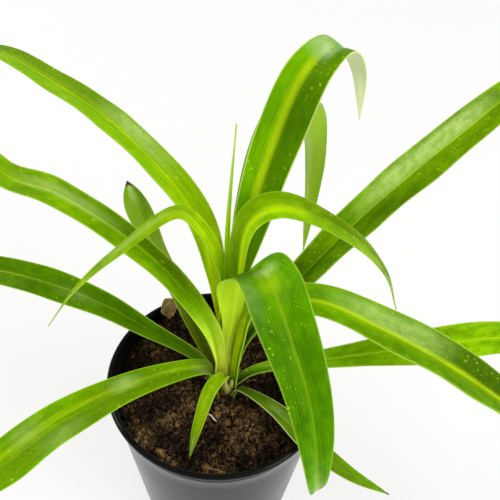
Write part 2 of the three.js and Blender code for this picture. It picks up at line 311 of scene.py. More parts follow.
def leafFinish(name, look):
    finish, tree, shader = newFinish(name)
    side = readAttribute(tree, "bladeAcross")
    along = readAttribute(tree, "bladeAlong")
    under = readAttribute(tree, "bladeUnder")
    place = readAttribute(tree, "bladePlace", "Vector")
    reach = calc("ABSOLUTE", side)

    def stretched(share, scale, detail=2.0, output="Fac"):
        return noiseAt(calcVector("MULTIPLY", place, (1.0, share, 1.0)), scale, detail, output=output)

    def between(start, end, softest):
        soft = min(softest, 0.6 * (end - start))
        return times(mapRange(along, start - soft, start + soft), mapRange(along, end + soft, end - soft))

    streaks = stretched(0.03, 900.0)
    patches = stretched(0.35, 80.0, 3.0)
    bands = stretched(0.1, 260.0)
    acrossMetres = axesOf(place)["X"]
    wander = timesPlus(bands, 0.0016, acrossMetres)
    ribs = calc("SINE", times(wander, 2 * math.pi / 0.00125))
    ribs = timesPlus(ribs, 0.5, 0.5)
    ribs = times(ribs, mapRange(stretched(0.08, 420.0), 0.35, 0.65, 0.25, 1.0))

    # ground colour: patches, then veins, then the paler middle and foot
    broad = stretched(0.5, 34.0)
    mottle = stretched(0.6, 260.0, 3.0)
    shade = timesPlus(mapRange(bands, 0.3, 0.7), 0.15, times(mapRange(patches, 0.35, 0.65), 0.35))
    shade = timesPlus(mapRange(mottle, 0.38, 0.62), 0.32, shade)
    shade = timesPlus(mapRange(broad, 0.38, 0.62), 0.3, shade, clamp=True)
    shade = timesPlus(shade, 1.0 - look["evenness"], 0.55 * look["evenness"])
    colour = mixColour(shade, look["patch"], look["top"])
    haloReach = calc("ABSOLUTE", minus(side, look["haloShift"]))
    halo = mapRange(timesPlus(streaks, 0.3, haloReach), look["haloWidth"] + 0.15, 0.1)
    halo = times(halo, mapRange(along, look["haloEnd"] + 0.03, look["haloEnd"] - 0.03))
    colour = mixColour(times(halo, look["haloStrength"]), colour, look["halo"])
    # the underside colour, paler at the far end where a look gives one: painted light, the glow of light
    # shining through the thin blade
    farEnd = mapRange(along, 0.7, 0.8)
    beneath = mixColour(farEnd, look["under"], look.get("underFarBacklit", look["under"]))
    colour = mixColour(times(under, look["underStrength"]), colour, beneath)
    # the paler foot; its brightest tints are partly painted light, lifting the folded foot out of its shade
    footShare = mapRange(timesPlus(streaks, 0.12, along), look["footReach"] + 0.06, 0.04)
    colour = mixColour(footShare, colour, look["foot"])
    heelShare = mapRange(timesPlus(streaks, 0.02, along), look["heelReach"] + 0.01, 0.01)
    colour = mixColour(heelShare, colour, look["heel"])
    veins = times(ribs, timesPlus(under, -0.4 * look["veins"], look["veins"]))
    colour = mixColour(veins, colour, mixColour(1.0, colour, (0.5, 0.62, 0.4, 1.0), "MULTIPLY"))
    # painted shade and painted light: one half of the blade darker or lighter for how the light falls on its
    # V, the far end darker or lighter, and the listed spans darker or lighter; the halves stay even on the
    # underside
    paintedHalfShade = mapRange(side, -look["shadeEdge"], look["shadeEdge"], look["rightShade"], look["leftShade"])
    paintedHalfShade = timesPlus(minus(paintedHalfShade, 1.0), minus(1.0, under), 1.0)
    paintedShade = times(paintedHalfShade, mapRange(along, 0.3, 0.95, 1.0, look["farShade"]))
    for start, end, factor, half in look["shades"]:
        span = between(start, end, 0.07)
        if half:
            span = times(span, mapRange(times(side, half), -0.25, 0.35))
        paintedShade = times(paintedShade, timesPlus(span, factor - 1.0, 1.0))
    colour = darkened(colour, paintedShade)
    line = mapRange(timesPlus(streaks, 0.08, reach), 0.15 * look["lineWidth"], 0.04 * look["lineWidth"])
    line = times(line, mapRange(along, 0.98, 0.7, 0.0, look["lineStrength"]))
    line = times(line, mapRange(patches, 0.3, 0.6, 0.55, 1.0))
    colour = mixColour(line, colour, look["line"])

    # pale specks in three sizes, pulled out of round by noise
    pull = centred(stretched(1.0, 700.0, 2.0, "Color"))
    ragged = calcVector("ADD", place, scaled(pull, 0.0022))
    for scale, chance, largest in ((620.0, 0.66, 0.22), (330.0, 0.8, 0.22), (150.0, 0.9, 0.16)):
        cells = addNode(tree, "ShaderNodeTexVoronoi", {"Vector": ragged, "Scale": scale},
                        voronoi_dimensions="2D")
        lot = addNode(tree, "ShaderNodeSeparateColor", {"Color": cells.outputs["Color"]}).outputs
        size = timesPlus(lot["Green"], largest, 0.06)
        dot = mapRange(cells.outputs["Distance"], size, 0.0)
        dot = times(dot, calc("GREATER_THAN", lot["Red"], chance))
        dot = times(dot, mapRange(patches, 0.42, 0.58, 0.1, look["specks"]))
        colour = mixColour(dot, colour, tint(190, 216, 48))

    # painted sheen: whitish patches laid on the colour where the blade would mirror the lights, mottled with
    # clearer gaps; an entry with its own colour lays that colour instead
    for middle, (start, end), strength, *own in look["sheensAndTints"]:
        window = between(start, end, 0.06)
        offMiddle = calc("ABSOLUTE", minus(side, middle))
        window = times(window, mapRange(offMiddle, 0.6, 0.15))
        gaps = mapRange(stretched(0.6, 300.0, 5.0), 0.66, 0.38, look["overlayGaps"], 1.0)
        overlay = times(times(window, gaps), timesPlus(streaks, 0.5, 0.55))
        overlay = times(overlay, strength, clamp=True)
        colour = mixColour(overlay, colour, own[0] if own else tint(200, 218, 132))
    # a thin line along the margins, pale on most leaves: partly the margin's own rim colour, partly painted
    # highlight where the edge catches the light
    colour = mixColour(mapRange(reach, 0.93, 0.985, 0.0, look["edgeStrength"]), colour, look["edge"])
    if look["brownTip"]:
        start = 1.0 - look["brownTip"]
        fringe = timesPlus(streaks, look["brownTip"] * 0.8, along)
        dry = mapRange(fringe, start + look["brownTip"] * 0.25, start + look["brownTip"] * 0.75)
        colour = mixColour(dry, colour, tint(96, 66, 40))
    wax = stretched(0.5, 420.0, 3.0)
    setInputs(shader, {
        "Base Color": colour,
        "Roughness": mapRange(wax, 0.3, 0.7, look["gloss"] - 0.06, look["gloss"] + 0.08),
        "Specular IOR Level": 0.06, "Specular Tint": (0.75, 1.0, 0.2, 1.0), "Subsurface Weight": 0.5,
        "Subsurface Radius": (0.6, 1.0, 0.08), "Subsurface Scale": 0.002,
    })
    height = timesPlus(ribs, -0.6, times(streaks, 0.8))
    height = timesPlus(patches, 1.5, height)
    bump(shader, height, 0.0002, 0.9)
    return finish


# The blade, made along its midrib: a soft V across, folded at the foot, with a faint wave at its margins
bladeSockets = {
    "Width": "Float", "Foot Share": "Float", "Widening": "Float", "Tip Taper": "Float",
    "Tip Width": "Float", "Root Length": "Float", "Fold Foot": "Float", "Fold Open": "Float",
    "Opened By": "Float", "Roll Foot": "Float", "Roll Middle": "Float", "Roll Tip": "Float",
    "Heading": "Float", "Arch": "Float", "Crease": "Float", "Wave Length": "Float", "Wave Rise": "Float",
    "Wave Turn": "Float", "Unevenness": "Float", "Thickness": "Float", "Seed": "Float", "Columns": "Int",
    "Rows": "Int", "Finish": "Material",
}


def makeBladeTree():
    tree, given, result = newGeometryTree("leafBlade", bladeSockets)

    grid = addNode(tree, "GeometryNodeMeshGrid", {
        "Size X": 2.0, "Size Y": 1.0, "Vertices X": given["Columns"], "Vertices Y": given["Rows"]})
    place = axesOf(tree.nodes.new("GeometryNodeInputPosition").outputs[0])
    side = place["X"]
    share = plus(place["Y"], 0.5)
    length = addNode(tree, "GeometryNodeCurveLength", {"Curve": given["Geometry"]}).outputs["Length"]
    rootShare = calc("DIVIDE", given["Root Length"], length)
    along = calc("DIVIDE", minus(share, rootShare), minus(1.0, rootShare), clamp=True)
    travel = times(share, length)

    sample = addNode(tree, "GeometryNodeSampleCurve", {"Curves": given["Geometry"], "Factor": share},
                     mode="FACTOR")
    sample.use_all_curves = True
    tangent = sample.outputs["Tangent"]
    left = combine(times(calc("SINE", given["Heading"]), -1.0), calc("COSINE", given["Heading"]), 0.0)
    leaning = scaled(tangent, calcVector("DOT_PRODUCT", left, tangent))
    flat = calcVector("NORMALIZE", calcVector("SUBTRACT", left, leaning))
    up = calcVector("CROSS_PRODUCT", tangent, flat)

    # roll runs through its three values on a parabola
    rest = minus(1.0, along)
    footPart = times(rest, timesPlus(along, -2.0, 1.0))
    middlePart = times(times(along, rest), 4.0)
    tipPart = times(along, timesPlus(along, 2.0, -1.0))
    roll = times(given["Roll Foot"], footPart)
    roll = timesPlus(given["Roll Middle"], middlePart, roll)
    roll = timesPlus(given["Roll Tip"], tipPart, roll)
    rollCos, rollSin = calc("COSINE", roll), calc("SINE", roll)
    sideways = calcVector("ADD", scaled(flat, rollCos), scaled(up, rollSin))
    normal = calcVector("SUBTRACT", scaled(up, rollCos), scaled(flat, rollSin))

    # half width along the blade
    widening = mapRange(along, 0.0, given["Widening"], given["Foot Share"], 1.0)
    narrowing = minus(1.0, calc("POWER", along, given["Tip Taper"]))
    uneven = noiseAt(combine(travel, given["Seed"], calc("SIGN", side)), 22.0, 1.0)
    uneven = timesPlus(minus(uneven, 0.5), given["Unevenness"], 1.0)
    width = times(given["Width"], times(widening, times(narrowing, uneven)))
    half = times(calc("MAXIMUM", width, given["Tip Width"]), 0.5)

    # section: v is 0 at the midrib and 1 at the margin, rounded off in the crease
    fold = mapRange(along, 0.0, given["Opened By"], given["Fold Foot"], given["Fold Open"])
    foldCos, foldSin = calc("COSINE", fold), calc("SINE", fold)
    crease = given["Crease"]
    soft = minus(calc("SQRT", timesPlus(side, side, times(crease, crease))), crease)
    full = minus(calc("SQRT", timesPlus(crease, crease, 1.0)), crease)
    valley = calc("DIVIDE", soft, full)
    reach = calc("ABSOLUTE", side)
    hand = calc("SIGN", side)
    crown = timesPlus(reach, 2.0, -1.0)
    bulge = times(times(half, given["Arch"]), minus(1.0, times(crown, crown)))
    turn = calc("DIVIDE", times(travel, 2 * math.pi), given["Wave Length"])
    wave = calc("SINE", plus(plus(turn, given["Wave Turn"]), hand))
    flutter = noiseAt(combine(travel, given["Seed"], hand), 55.0, 2.0)
    wave = plus(wave, timesPlus(flutter, 2.0, -1.0))
    grownIn = times(mapRange(along, 0.0, 0.4), mapRange(along, 1.0, 0.8))
    wave = times(times(wave, given["Wave Rise"]), times(grownIn, half))
    ripple = times(wave, times(reach, reach))
    lift = plus(bulge, ripple)
    rise = timesPlus(times(half, valley), foldSin, times(lift, foldCos))
    run = minus(times(times(side, half), foldCos), times(times(hand, lift), foldSin))
    placed = calcVector("ADD", sample.outputs["Position"],
                        calcVector("ADD", scaled(sideways, run), scaled(normal, rise)))

    blade = storeNamed(grid.outputs["Mesh"], "bladeAcross", side)
    blade = storeNamed(blade, "bladeAlong", along)
    blade = storeNamed(blade, "bladePlace",
                       combine(timesPlus(side, half, given["Seed"]), travel, given["Seed"]),
                       kind="FLOAT_VECTOR")
    upper = addNode(tree, "GeometryNodeSetPosition",
                    {"Geometry": blade, "Position": placed}).outputs["Geometry"]

    # the sheet faces down, so its copy pushed along its normals is the lower face of a closed skin
    lower = addNode(tree, "GeometryNodeExtrudeMesh",
                    {"Mesh": upper, "Offset Scale": given["Thickness"], "Individual": False})
    under = storeNamed(lower.outputs["Mesh"], "bladeUnder", lower.outputs["Top"])
    facingUp = addNode(tree, "GeometryNodeFlipFaces", {"Mesh": upper}).outputs["Mesh"]
    joined = addNode(tree, "GeometryNodeJoinGeometry")
    tree.links.new(under, joined.inputs[0])
    tree.links.new(facingUp, joined.inputs[0])
    closed = addNode(tree, "GeometryNodeMergeByDistance", {"Geometry": joined.outputs[0], "Distance": 1e-6})
    endTree(smoothed(closed.outputs[0]).outputs[0], given["Finish"], result)
    return tree


# A midrib passes through its points on a centripetal spline, and starts a little below the foot
def splineThrough(points, steps=24):
    path = [points[0]]
    for i in range(len(points) - 1):
        p1, p2 = points[i], points[i + 1]
        p0 = points[i - 1] if i > 0 else 2 * p1 - p2
        p3 = points[i + 2] if i + 2 < len(points) else 2 * p2 - p1
        d0, d1, d2 = ((b - a).length ** 0.5 for a, b in ((p0, p1), (p1, p2), (p2, p3)))
        t1 = ((p1 - p0) / d0 - (p2 - p0) / (d0 + d1) + (p2 - p1) / d1) * d1
        t2 = ((p2 - p1) / d1 - (p3 - p1) / (d1 + d2) + (p3 - p2) / d2) * d1
        for k in range(1, steps + 1):
            w = k / steps
            place = p1 + t1 * w + (3 * (p2 - p1) - 2 * t1 - t2) * w * w
            path.append(place + (2 * (p1 - p2) + t1 + t2) * w ** 3)
    return path


def midribPath(leaf):
    turn = math.radians(leaf["heading"])
    outwards = Vector((math.cos(turn), math.sin(turn), 0))
    left = Vector((-math.sin(turn), math.cos(turn), 0))
    foot = Vector(leaf["foot"])
    points = [foot]
    for out, up, side in leaf["route"]:
        points.append(foot + outwards * out + Vector((0, 0, up)) + left * side)
    path = splineThrough(points)
    start = path[0] + (path[0] - path[3]).normalized() * blade["rootLength"]
    return [p * mm for p in [start] + path]


# Sizes in millimetres, angles in degrees. A route lists midrib points as outwards, upwards and to the left.
blade = {
    "rootLength": 8.0, "tipWidth": 0.5, "thickness": 0.55, "openedBy": 0.6, "arch": 0.07, "crease": 0.16,
    "waveLength": 46.0, "waveRise": 0.05, "unevenness": 0.09, "rowLength": 1.9, "columns": 27,
    "seedStep": 0.37, "sharpAbove": 50,
}
leaves = {
    "leaf_back_left_long": {
        "heading": 130, "foot": (1, 3, 109), "width": 17, "footShare": 0.2, "widening": 0.3, "taper": 5,
        "fold": (48, 14), "roll": (3, -2, -15), "look": "mid",
        "changes": {"top": tint(152, 196, 3), "patch": tint(96, 146, 1), "foot": tint(236, 244, 30),
                    "farShade": 0.92, "specks": 1.0, "line": tint(200, 222, 20), "lineStrength": 0.5,
                    "haloWidth": 0.3, "haloShift": -0.2, "veins": 0.3, "evenness": 0.6, "shadeEdge": 0.15,
                    "leftShade": 1.1, "rightShade": 0.9,
                    "shades": [(0.06, 0.22, 1.4, 0), (0.5, 1.0, 0.82, -1)],
                    "sheensAndTints": [(-0.55, (0.4, 0.5), 0.7)]},
        "route": [(0, 18, -3), (5, 44, -2), (22, 98, -1), (80, 113, 0), (140, 108, 2), (200, 96, 4),
                  (250, 62, 2)],
    },
    "leaf_left_upper": {
        "heading": 146, "foot": (-1.5, -1.5, 106), "width": 16.6, "footShare": 0.31, "widening": 0.2,
        "taper": 8, "fold": (64, 29), "roll": (-19, -36, -8), "look": "mid",
        "changes": {"foot": tint(226, 232, 96), "footReach": 0.24, "lineStrength": 0.35, "haloShift": -0.15,
                    "evenness": 0.2,
                    "shades": [(0.06, 0.22, 1.4, 0), (0.24, 0.42, 0.62, -1), (0.26, 0.4, 1.15, 1),
                               (0.46, 0.8, 1.15, -1)], "sheensAndTints": [(-0.2, (0.43, 0.62), 0.7)],
                    "edgeStrength": 0.5},
        "route": [(-1.5, 26.5, 2), (6, 47, 1), (35.5, 70.5, 0), (94.5, 85, 2), (124.5, 82, 5),
                  (154, 79, 0.5), (210, 45, 0)],
    },
    "leaf_left_lower": {
        "heading": 160, "foot": (-4.5, 2, 104), "width": 18, "footShare": 0.38, "widening": 0.5, "taper": 5,
        "fold": (46, 20), "roll": (-20, -36, -18), "look": "deep",
        "changes": {"top": tint(112, 160, 2), "patch": tint(66, 108, 1), "foot": tint(150, 180, 50),
                    "footReach": 0.14, "line": tint(196, 206, 60), "lineStrength": 0.35,
                    "haloStrength": 0.15, "edgeStrength": 0.6, "veins": 0.3, "specks": 0.35,
                    "leftShade": 0.85, "evenness": 0.3, "sheensAndTints": [(0.1, (0.38, 0.46), 0.25)]},
        "route": [(7, 10, -1), (36, 26, 1), (64, 36, 1), (101, 40, 2), (145, 32, 2), (185, 10, 2)],
    },
    "leaf_front_left_wide": {
        "heading": 205, "foot": (-3.5, -4, 103), "width": 25, "footShare": 0.38, "widening": 0.62,
        "taper": 6, "fold": (32, 12), "roll": (-11, -12, -11), "look": "mid",
        "changes": {"top": tint(142, 188, 2), "foot": tint(196, 206, 130), "footReach": 0.13,
                    "line": tint(176, 200, 40), "lineStrength": 0.15, "halo": tint(186, 208, 24),
                    "haloWidth": 0.25, "haloShift": -0.3, "haloStrength": 0.6, "veins": 0.4,
                    "edge": tint(160, 210, 40), "evenness": 0.3, "shadeEdge": 0.08, "leftShade": 0.84,
                    "edgeStrength": 0.6, "shades": [(0.1, 0.36, 0.86, 0)],
                    "sheensAndTints": [(-0.4, (0.26, 0.31), 0.6), (-0.5, (0.5, 0.56), 0.35),
                              (0.6, (0.42, 0.5), 0.3)]},
        "route": [(2.5, 13.5, -1.5), (34.5, 26, 1), (79.5, 18.5, 1), (110, 5, 3), (149.5, -15.5, 3.5),
                  (182, -42, 5)],
    },
    "leaf_front_short": {
        "heading": 245, "foot": (2.5, -7, 106), "width": 8.3, "footShare": 0.36, "widening": 0.4,
        "taper": 2.8, "fold": (39, 20), "roll": (-5, -11, -2), "look": "young",
        "changes": {"top": tint(150, 190, 4), "foot": tint(170, 200, 14), "brownTip": 0.035,
                    "rightShade": 0.85, "edgeStrength": 0.7, "sheensAndTints": [(0.0, (0.8, 1.1), 0.8)]},
        "route": [(1, 12, 1.5), (16, 19, 0.5), (32.5, 12, 2), (42.5, -7.5, 1.5)],
    },
    "leaf_tall_back": {
        "heading": 60, "foot": (5.5, 3.5, 109), "width": 28.9, "footShare": 0.14, "widening": 0.74,
        "taper": 3.7, "fold": (48, 11), "roll": (29, 12, 8), "look": "mid",
        "changes": {"top": tint(134, 190, 2), "patch": tint(92, 146, 1), "under": tint(176, 210, 60),
                    "underFarBacklit": tint(238, 248, 208), "underStrength": 1.0, "rightShade": 0.6,
                    "shadeEdge": 0.07, "haloWidth": 0.34, "haloStrength": 0.9, "haloShift": 0.16,
                    "haloEnd": 0.72, "halo": tint(190, 210, 20), "lineStrength": 0.1,
                    "edge": tint(214, 232, 130), "edgeStrength": 0.8, "veins": 0.5, "evenness": 0.4,
                    "sheensAndTints": [(0.0, (0.735, 0.78), 1.0, tint(186, 206, 150)),
                              (0.6, (0.74, 0.79), 0.9, tint(180, 200, 140))]},
        "route": [(5.5, 22, -2), (4, 51, 1), (13, 93.5, -1), (40.5, 134, -0.5), (53.5, 161.5, -6),
                  (76.5, 162, -8.5), (93.5, 141, -14), (89, 117.5, -20.5)],
    },
    "leaf_back_hanging": {
        "heading": 66, "foot": (5, 7, 104.5), "width": 20, "footShare": 0.2, "widening": 0.4, "taper": 4,
        "fold": (55, 10), "roll": (0, 8, 0), "look": "dull",
        "changes": {"top": tint(150, 184, 24), "under": tint(184, 220, 50), "underStrength": 0.97,
                    "sheensAndTints": [(0.75, (0.3, 1.1), 0.7)], "veins": 0.3, "edge": tint(120, 160, 40),
                    "edgeStrength": 0.7, "farShade": 0.7, "shades": [(0.5, 0.72, 1.2, 0)]},
        "route": [(4, 23, 0), (10, 61, 0), (31, 113, 0), (60, 131, 0), (92, 118, 0), (123, 52, 0),
                  (124, -28, 0)],
    },
    "leaf_right_upper": {
        "heading": 40, "foot": (9.5, 3, 105), "width": 24.5, "footShare": 0.18, "widening": 0.25,
        "taper": 5.5, "fold": (64, 26), "roll": (16, 24, 15), "look": "deep",
        "changes": {"sheensAndTints": [(0.45, (0.4, 0.68), 0.85)], "overlayGaps": 0.55, "lineStrength": 0.4,
                    "footReach": 0.1, "rightShade": 0.8, "shadeEdge": 0.12, "haloShift": -0.12,
                    "haloStrength": 0.7, "shades": [(0.0, 0.28, 0.5, 1)]},
        "route": [(10, 18, 3), (28, 35, 2), (85, 68, -1), (146, 93, -6), (205, 101, -6), (262, 76, -7)],
    },
    "leaf_centre_arching": {
        "heading": 12, "foot": (8, -1, 110), "width": 15.5, "footShare": 0.18, "widening": 0.55,
        "taper": 2.7, "fold": (50, 4), "roll": (30, 25, 20), "look": "young",
        "changes": {"top": tint(168, 208, 3), "patch": tint(112, 160, 1), "leftShade": 0.66,
                    "rightShade": 1.12, "halo": tint(196, 220, 8), "haloShift": -0.3, "haloWidth": 0.4,
                    "haloEnd": 0.6, "haloStrength": 0.4, "footReach": 0.55, "edgeStrength": 0.2,
                    "shades": [(0.3, 0.52, 1.3, 0), (0.6, 1.0, 0.78, 0)]},
        "route": [(1, 27, 4), (1, 67, 4), (6, 115, 2), (18, 120, 2), (51, 98, 1), (75, 67, 0), (87, 34, 0)],
    },
    "leaf_front_drooping": {
        "heading": -66, "foot": (4, -4, 108), "width": 28, "footShare": 0.1, "widening": 0.56, "taper": 3.7,
        "fold": (22, 9), "roll": (-32, 12, -17), "look": "deep",
        "changes": {"top": tint(104, 164, 1), "patch": tint(64, 116, 1), "foot": tint(224, 234, 84),
                    "footReach": 0.2, "brownTip": 0.012, "under": tint(176, 210, 34), "underStrength": 0.95,
                    "shades": [(0.0, 0.3, 1.3, -1), (0.0, 0.3, 0.85, 1), (0.4, 0.49, 0.6, -1),
                               (0.485, 0.54, 1.2, 0), (0.6, 0.75, 0.75, -1), (0.6, 0.75, 0.85, 1)],
                    "halo": tint(130, 180, 6), "haloStrength": 0.25, "lineStrength": 0.2,
                    "sheensAndTints": [(0.1, (0.455, 0.485), 0.8), (0.0, (0.49, 0.54), 0.7, tint(176, 204, 10)),
                              (-0.95, (0.5, 0.58), 0.6, tint(150, 180, 90)), (0.0, (0.88, 1.1), 0.5)]},
        "route": [(-0.5, 23.5, 0), (0, 48.5, 2.5), (9.5, 91, 1), (22, 109, 4.5), (40.5, 118, 1.5),
                  (50.5, 120, -1), (80.5, 93, -0.5), (97, 59.5, -2), (89.5, 32, 3)],
    },
    "leaf_right_front": {
        "heading": -8, "foot": (8, -5, 104), "width": 24.9, "footShare": 0.28, "widening": 0.63,
        "taper": 5.8, "fold": (25, 24), "roll": (50, 20, 27), "look": "deep",
        "changes": {"top": tint(124, 176, 2), "foot": tint(140, 182, 10), "footReach": 0.38,
                    "line": tint(196, 216, 20), "lineStrength": 0.65, "lineWidth": 1.7, "haloShift": -0.1,
                    "evenness": 0.3,
                    "sheensAndTints": [(0.45, (0.38, 0.56), 0.65), (0.35, (0.0, 0.2), 1.7, tint(204, 226, 14))],
                    "shades": [(0.0, 0.16, 0.8, 0), (0.2, 0.4, 1.2, 0), (0.58, 1.1, 0.4, 1)],
                    "edgeStrength": 0.5},
        "route": [(3, 37, 2), (9.5, 64, 7.5), (39, 75, 3.5), (67, 66, 0.5), (101.5, 48, -1.5),
                  (136.5, 23, -2.5), (195, -28, -2)],
    },
    "leaf_right_low": {
        "heading": 10, "foot": (11, -1.5, 101), "width": 22, "footShare": 0.36, "widening": 0.55,
        "taper": 5, "fold": (52, 22), "roll": (0, 34, 14), "look": "mid",
        "changes": {"top": tint(156, 198, 2), "foot": tint(150, 196, 40), "footReach": 0.36,
                    "haloWidth": 0.35, "shades": [(0.14, 0.26, 1.3, 0), (0.55, 1.1, 1.25, 0)],
                    # its dark heel is painted shade, cast on its foot by the drooping front leaf
                    "heel": tint(84, 120, 20), "heelReach": 0.1, "lineStrength": 0.35, "edgeStrength": 0.5},
        "route": [(9, 7, 1), (50, 13, -1), (100, 16, -3), (152, 15, -4), (210, -12, -5)],
    },
    "leaf_front_right_low": {
        "heading": -42, "foot": (8.5, -7.5, 98), "width": 12, "footShare": 0.35, "widening": 0.6,
        "taper": 4, "fold": (45, 14), "roll": (-10, 8, 10), "look": "deep",
        "changes": {"brownTip": 0.02, "top": tint(108, 144, 20), "patch": tint(74, 106, 12),
                    "farShade": 1.2, "foot": tint(176, 196, 70), "footReach": 0.1, "lineStrength": 0.12,
                    "haloStrength": 0.15, "edge": tint(214, 230, 150), "edgeStrength": 0.8,
                    "shades": [(0.5, 0.7, 0.8, 0)], "sheensAndTints": [(0.2, (0.3, 0.4), 0.3)]},
        "route": [(5, 10, 0), (28, 16, 0), (51, 13, -1), (76, 7, 2), (96, 2, 9)],
    },
    "leaf_left_small": {
        "heading": 178, "foot": (1.5, -1, 110), "width": 9.2, "footShare": 0.22, "widening": 0.58,
        "taper": 1.8, "fold": (43, 9), "roll": (-14, -47, 18), "look": "young",
        "changes": {"top": tint(176, 212, 6), "footReach": 0.6, "haloStrength": 0.15,
                    "shades": [(0.2, 0.36, 1.25, 0)], "sheensAndTints": [(-0.3, (0.56, 0.72), 0.5)]},
        "route": [(1.5, 32.5, -1.5), (1, 83, -1.5), (13, 116, 1), (20, 120, 0.5), (46, 98.5, 4.5),
                  (68.5, 70.5, 3.5), (88, 34, -1)],
    },
    "leaf_back_left_short": {
        "heading": 120, "foot": (-0.5, 6.5, 102), "width": 19.9, "footShare": 0.36, "widening": 0.77,
        "taper": 10, "fold": (52, 6), "roll": (-42, 36, -10), "look": "dull",
        "changes": {"brownTip": 0.03, "shades": [(0.0, 0.45, 0.7, 0)], "leftShade": 1.15,
                    "rightShade": 0.85, "top": tint(136, 166, 44), "patch": tint(106, 138, 20),
                    "veins": 0.2, "sheensAndTints": [(0.0, (0.9, 1.1), 0.9)]},
        "route": [(28, 15.5, 3), (44.5, 25.5, 3), (75.5, 43.5, 4), (106, 55.5, 1)],
    },
    "leaf_young_upright": {
        "heading": 80, "foot": (4.5, 1, 111), "width": 4.6, "footShare": 0.8, "widening": 0.5, "taper": 1.7,
        "fold": (44, 24), "roll": (14, 14, -4), "look": "mid",
        "changes": {"top": tint(186, 216, 24), "patch": tint(150, 190, 6), "foot": tint(150, 186, 10),
                    "sheensAndTints": [(0.0, (0.75, 1.1), 0.8)]},
        "route": [(-1, 36, 1), (-1.5, 62.5, 0), (0, 102, 1.5), (8, 159.5, 0.5)],
    },
}


def makeLeaf(name, leaf, seed, bladeTree):
    path = midribPath(leaf)
    length = sum((b - a).length for a, b in zip(path, path[1:]))
    look = {**leafLooks[leaf["look"]], **leaf.get("changes", {})}
    fold, roll = ([math.radians(angle) for angle in leaf[key]] for key in ("fold", "roll"))
    values = {
        "Width": leaf["width"] * mm, "Foot Share": float(leaf["footShare"]),
        "Widening": float(leaf["widening"]), "Tip Taper": float(leaf["taper"]),
        "Tip Width": blade["tipWidth"] * mm, "Root Length": blade["rootLength"] * mm, "Fold Foot": fold[0],
        "Fold Open": fold[1], "Opened By": blade["openedBy"], "Roll Foot": roll[0], "Roll Middle": roll[1],
        "Roll Tip": roll[2], "Heading": math.radians(leaf["heading"]), "Arch": blade["arch"],
        "Crease": blade["crease"], "Wave Length": blade["waveLength"] * mm, "Wave Rise": blade["waveRise"],
        "Wave Turn": float(leaf["heading"]), "Unevenness": blade["unevenness"],
        "Thickness": blade["thickness"] * mm, "Seed": seed * blade["seedStep"], "Columns": blade["columns"],
        "Rows": int(length / (blade["rowLength"] * mm)), "Finish": leafFinish(name + "_finish", look),
    }
    piece = grown(polyCurve(name + "_midrib", [path]), bladeTree, values, name + "_blade")
    piece.data.set_sharp_from_angle(angle=math.radians(blade["sharpAbove"]))
    if name in leaves:
        onPlant(piece, "leaf", name)
    else:
        onPlant(piece, "crown_flesh")


bladeTree = makeBladeTree()
for seed, (name, leaf) in enumerate(leaves.items()):
    makeLeaf(name, leaf, seed, bladeTree)
print("leaves grown:", len(leaves))


# Closed turned shape from [radius, height] points that start and end on the axis
def turnedPiece(name, profile, sides, finish, centre=(0.0, 0.0)):
    points = []
    rings = []
    for radius, height in profile:
        if radius == 0:
            rings.append([len(points)])
            points.append((centre[0], centre[1], height))
            continue
        rings.append(list(range(len(points), len(points) + sides)))
        for k in range(sides):
            turn = 2 * math.pi * k / sides
            x, y = radius * math.cos(turn), radius * math.sin(turn)
            points.append((centre[0] + x, centre[1] + y, height))
    faces = []
    for lower, upper in zip(rings, rings[1:]):
        for k in range(sides):
            n = (k + 1) % sides
            if len(lower) == 1:
                faces.append((lower[0], upper[n], upper[k]))
            elif len(upper) == 1:
                faces.append((lower[k], lower[n], upper[0]))
            else:
                faces.append((lower[k], lower[n], upper[n], upper[k]))
    piece = meshPiece(name, points, faces, finish)
    faceOutwards(piece)
    return piece


# Pot: thin black plastic with a rounded lip, a band of faint rings under it, and drain holes in its floor
potSizes = {
    "height": 105.0, "lipRadius": 60.0, "lipHeight": 3.6, "lipWidth": 2.8, "topRadius": 57.5,
    "footRadius": 45.0, "wall": 1.3, "floor": 1.8, "lipRound": (1.6, 1.9), "bandDrop": 9.0, "bandRise": 0.2,
    "rings": 2, "ringRise": 0.08, "drainRadius": 4.5, "drainRing": 33.0, "drainCount": 8, "sides": 200,
    "wallHeights": (12, 30, 50, 70, 84), "drillSides": 32, "drillDepth": 0.02, "sharpAbove": 40,
    "sole": [(0, 0), (41.5, 0), (42.0, 0.35), (42.6, 0.35), (43.1, 0), (44.2, 0), (44.75, 0.3)],
}


def potFinish():
    finish, tree, shader = newFinish("black_pot_plastic")
    place = objectPlace(tree)
    smudges = noiseAt(place, 38.0, 4.0, 0.6)
    grain = noiseAt(place, 1400.0, 2.0)
    dust = noiseAt(place, 260.0, 5.0, 0.7)
    dusty = times(mapRange(dust, 0.56, 0.75), mapRange(smudges, 0.4, 0.7, 0.05, 0.35))
    colour = mixColour(dusty, tint(12, 12, 12), tint(76, 70, 58))
    rough = timesPlus(smudges, 0.16, timesPlus(dusty, 0.4, 0.14))
    setInputs(shader, {
        "Base Color": colour, "Roughness": rough, "IOR": 1.22, "Sheen Weight": 0.08,
        "Sheen Roughness": 0.35,
    })
    bump(shader, timesPlus(grain, 0.3, smudges), 0.00008, 0.5)
    return finish


def wallRadius(height):
    share = height / (potSizes["height"] - potSizes["lipHeight"])
    return potSizes["footRadius"] + (potSizes["topRadius"] - potSizes["footRadius"]) * share


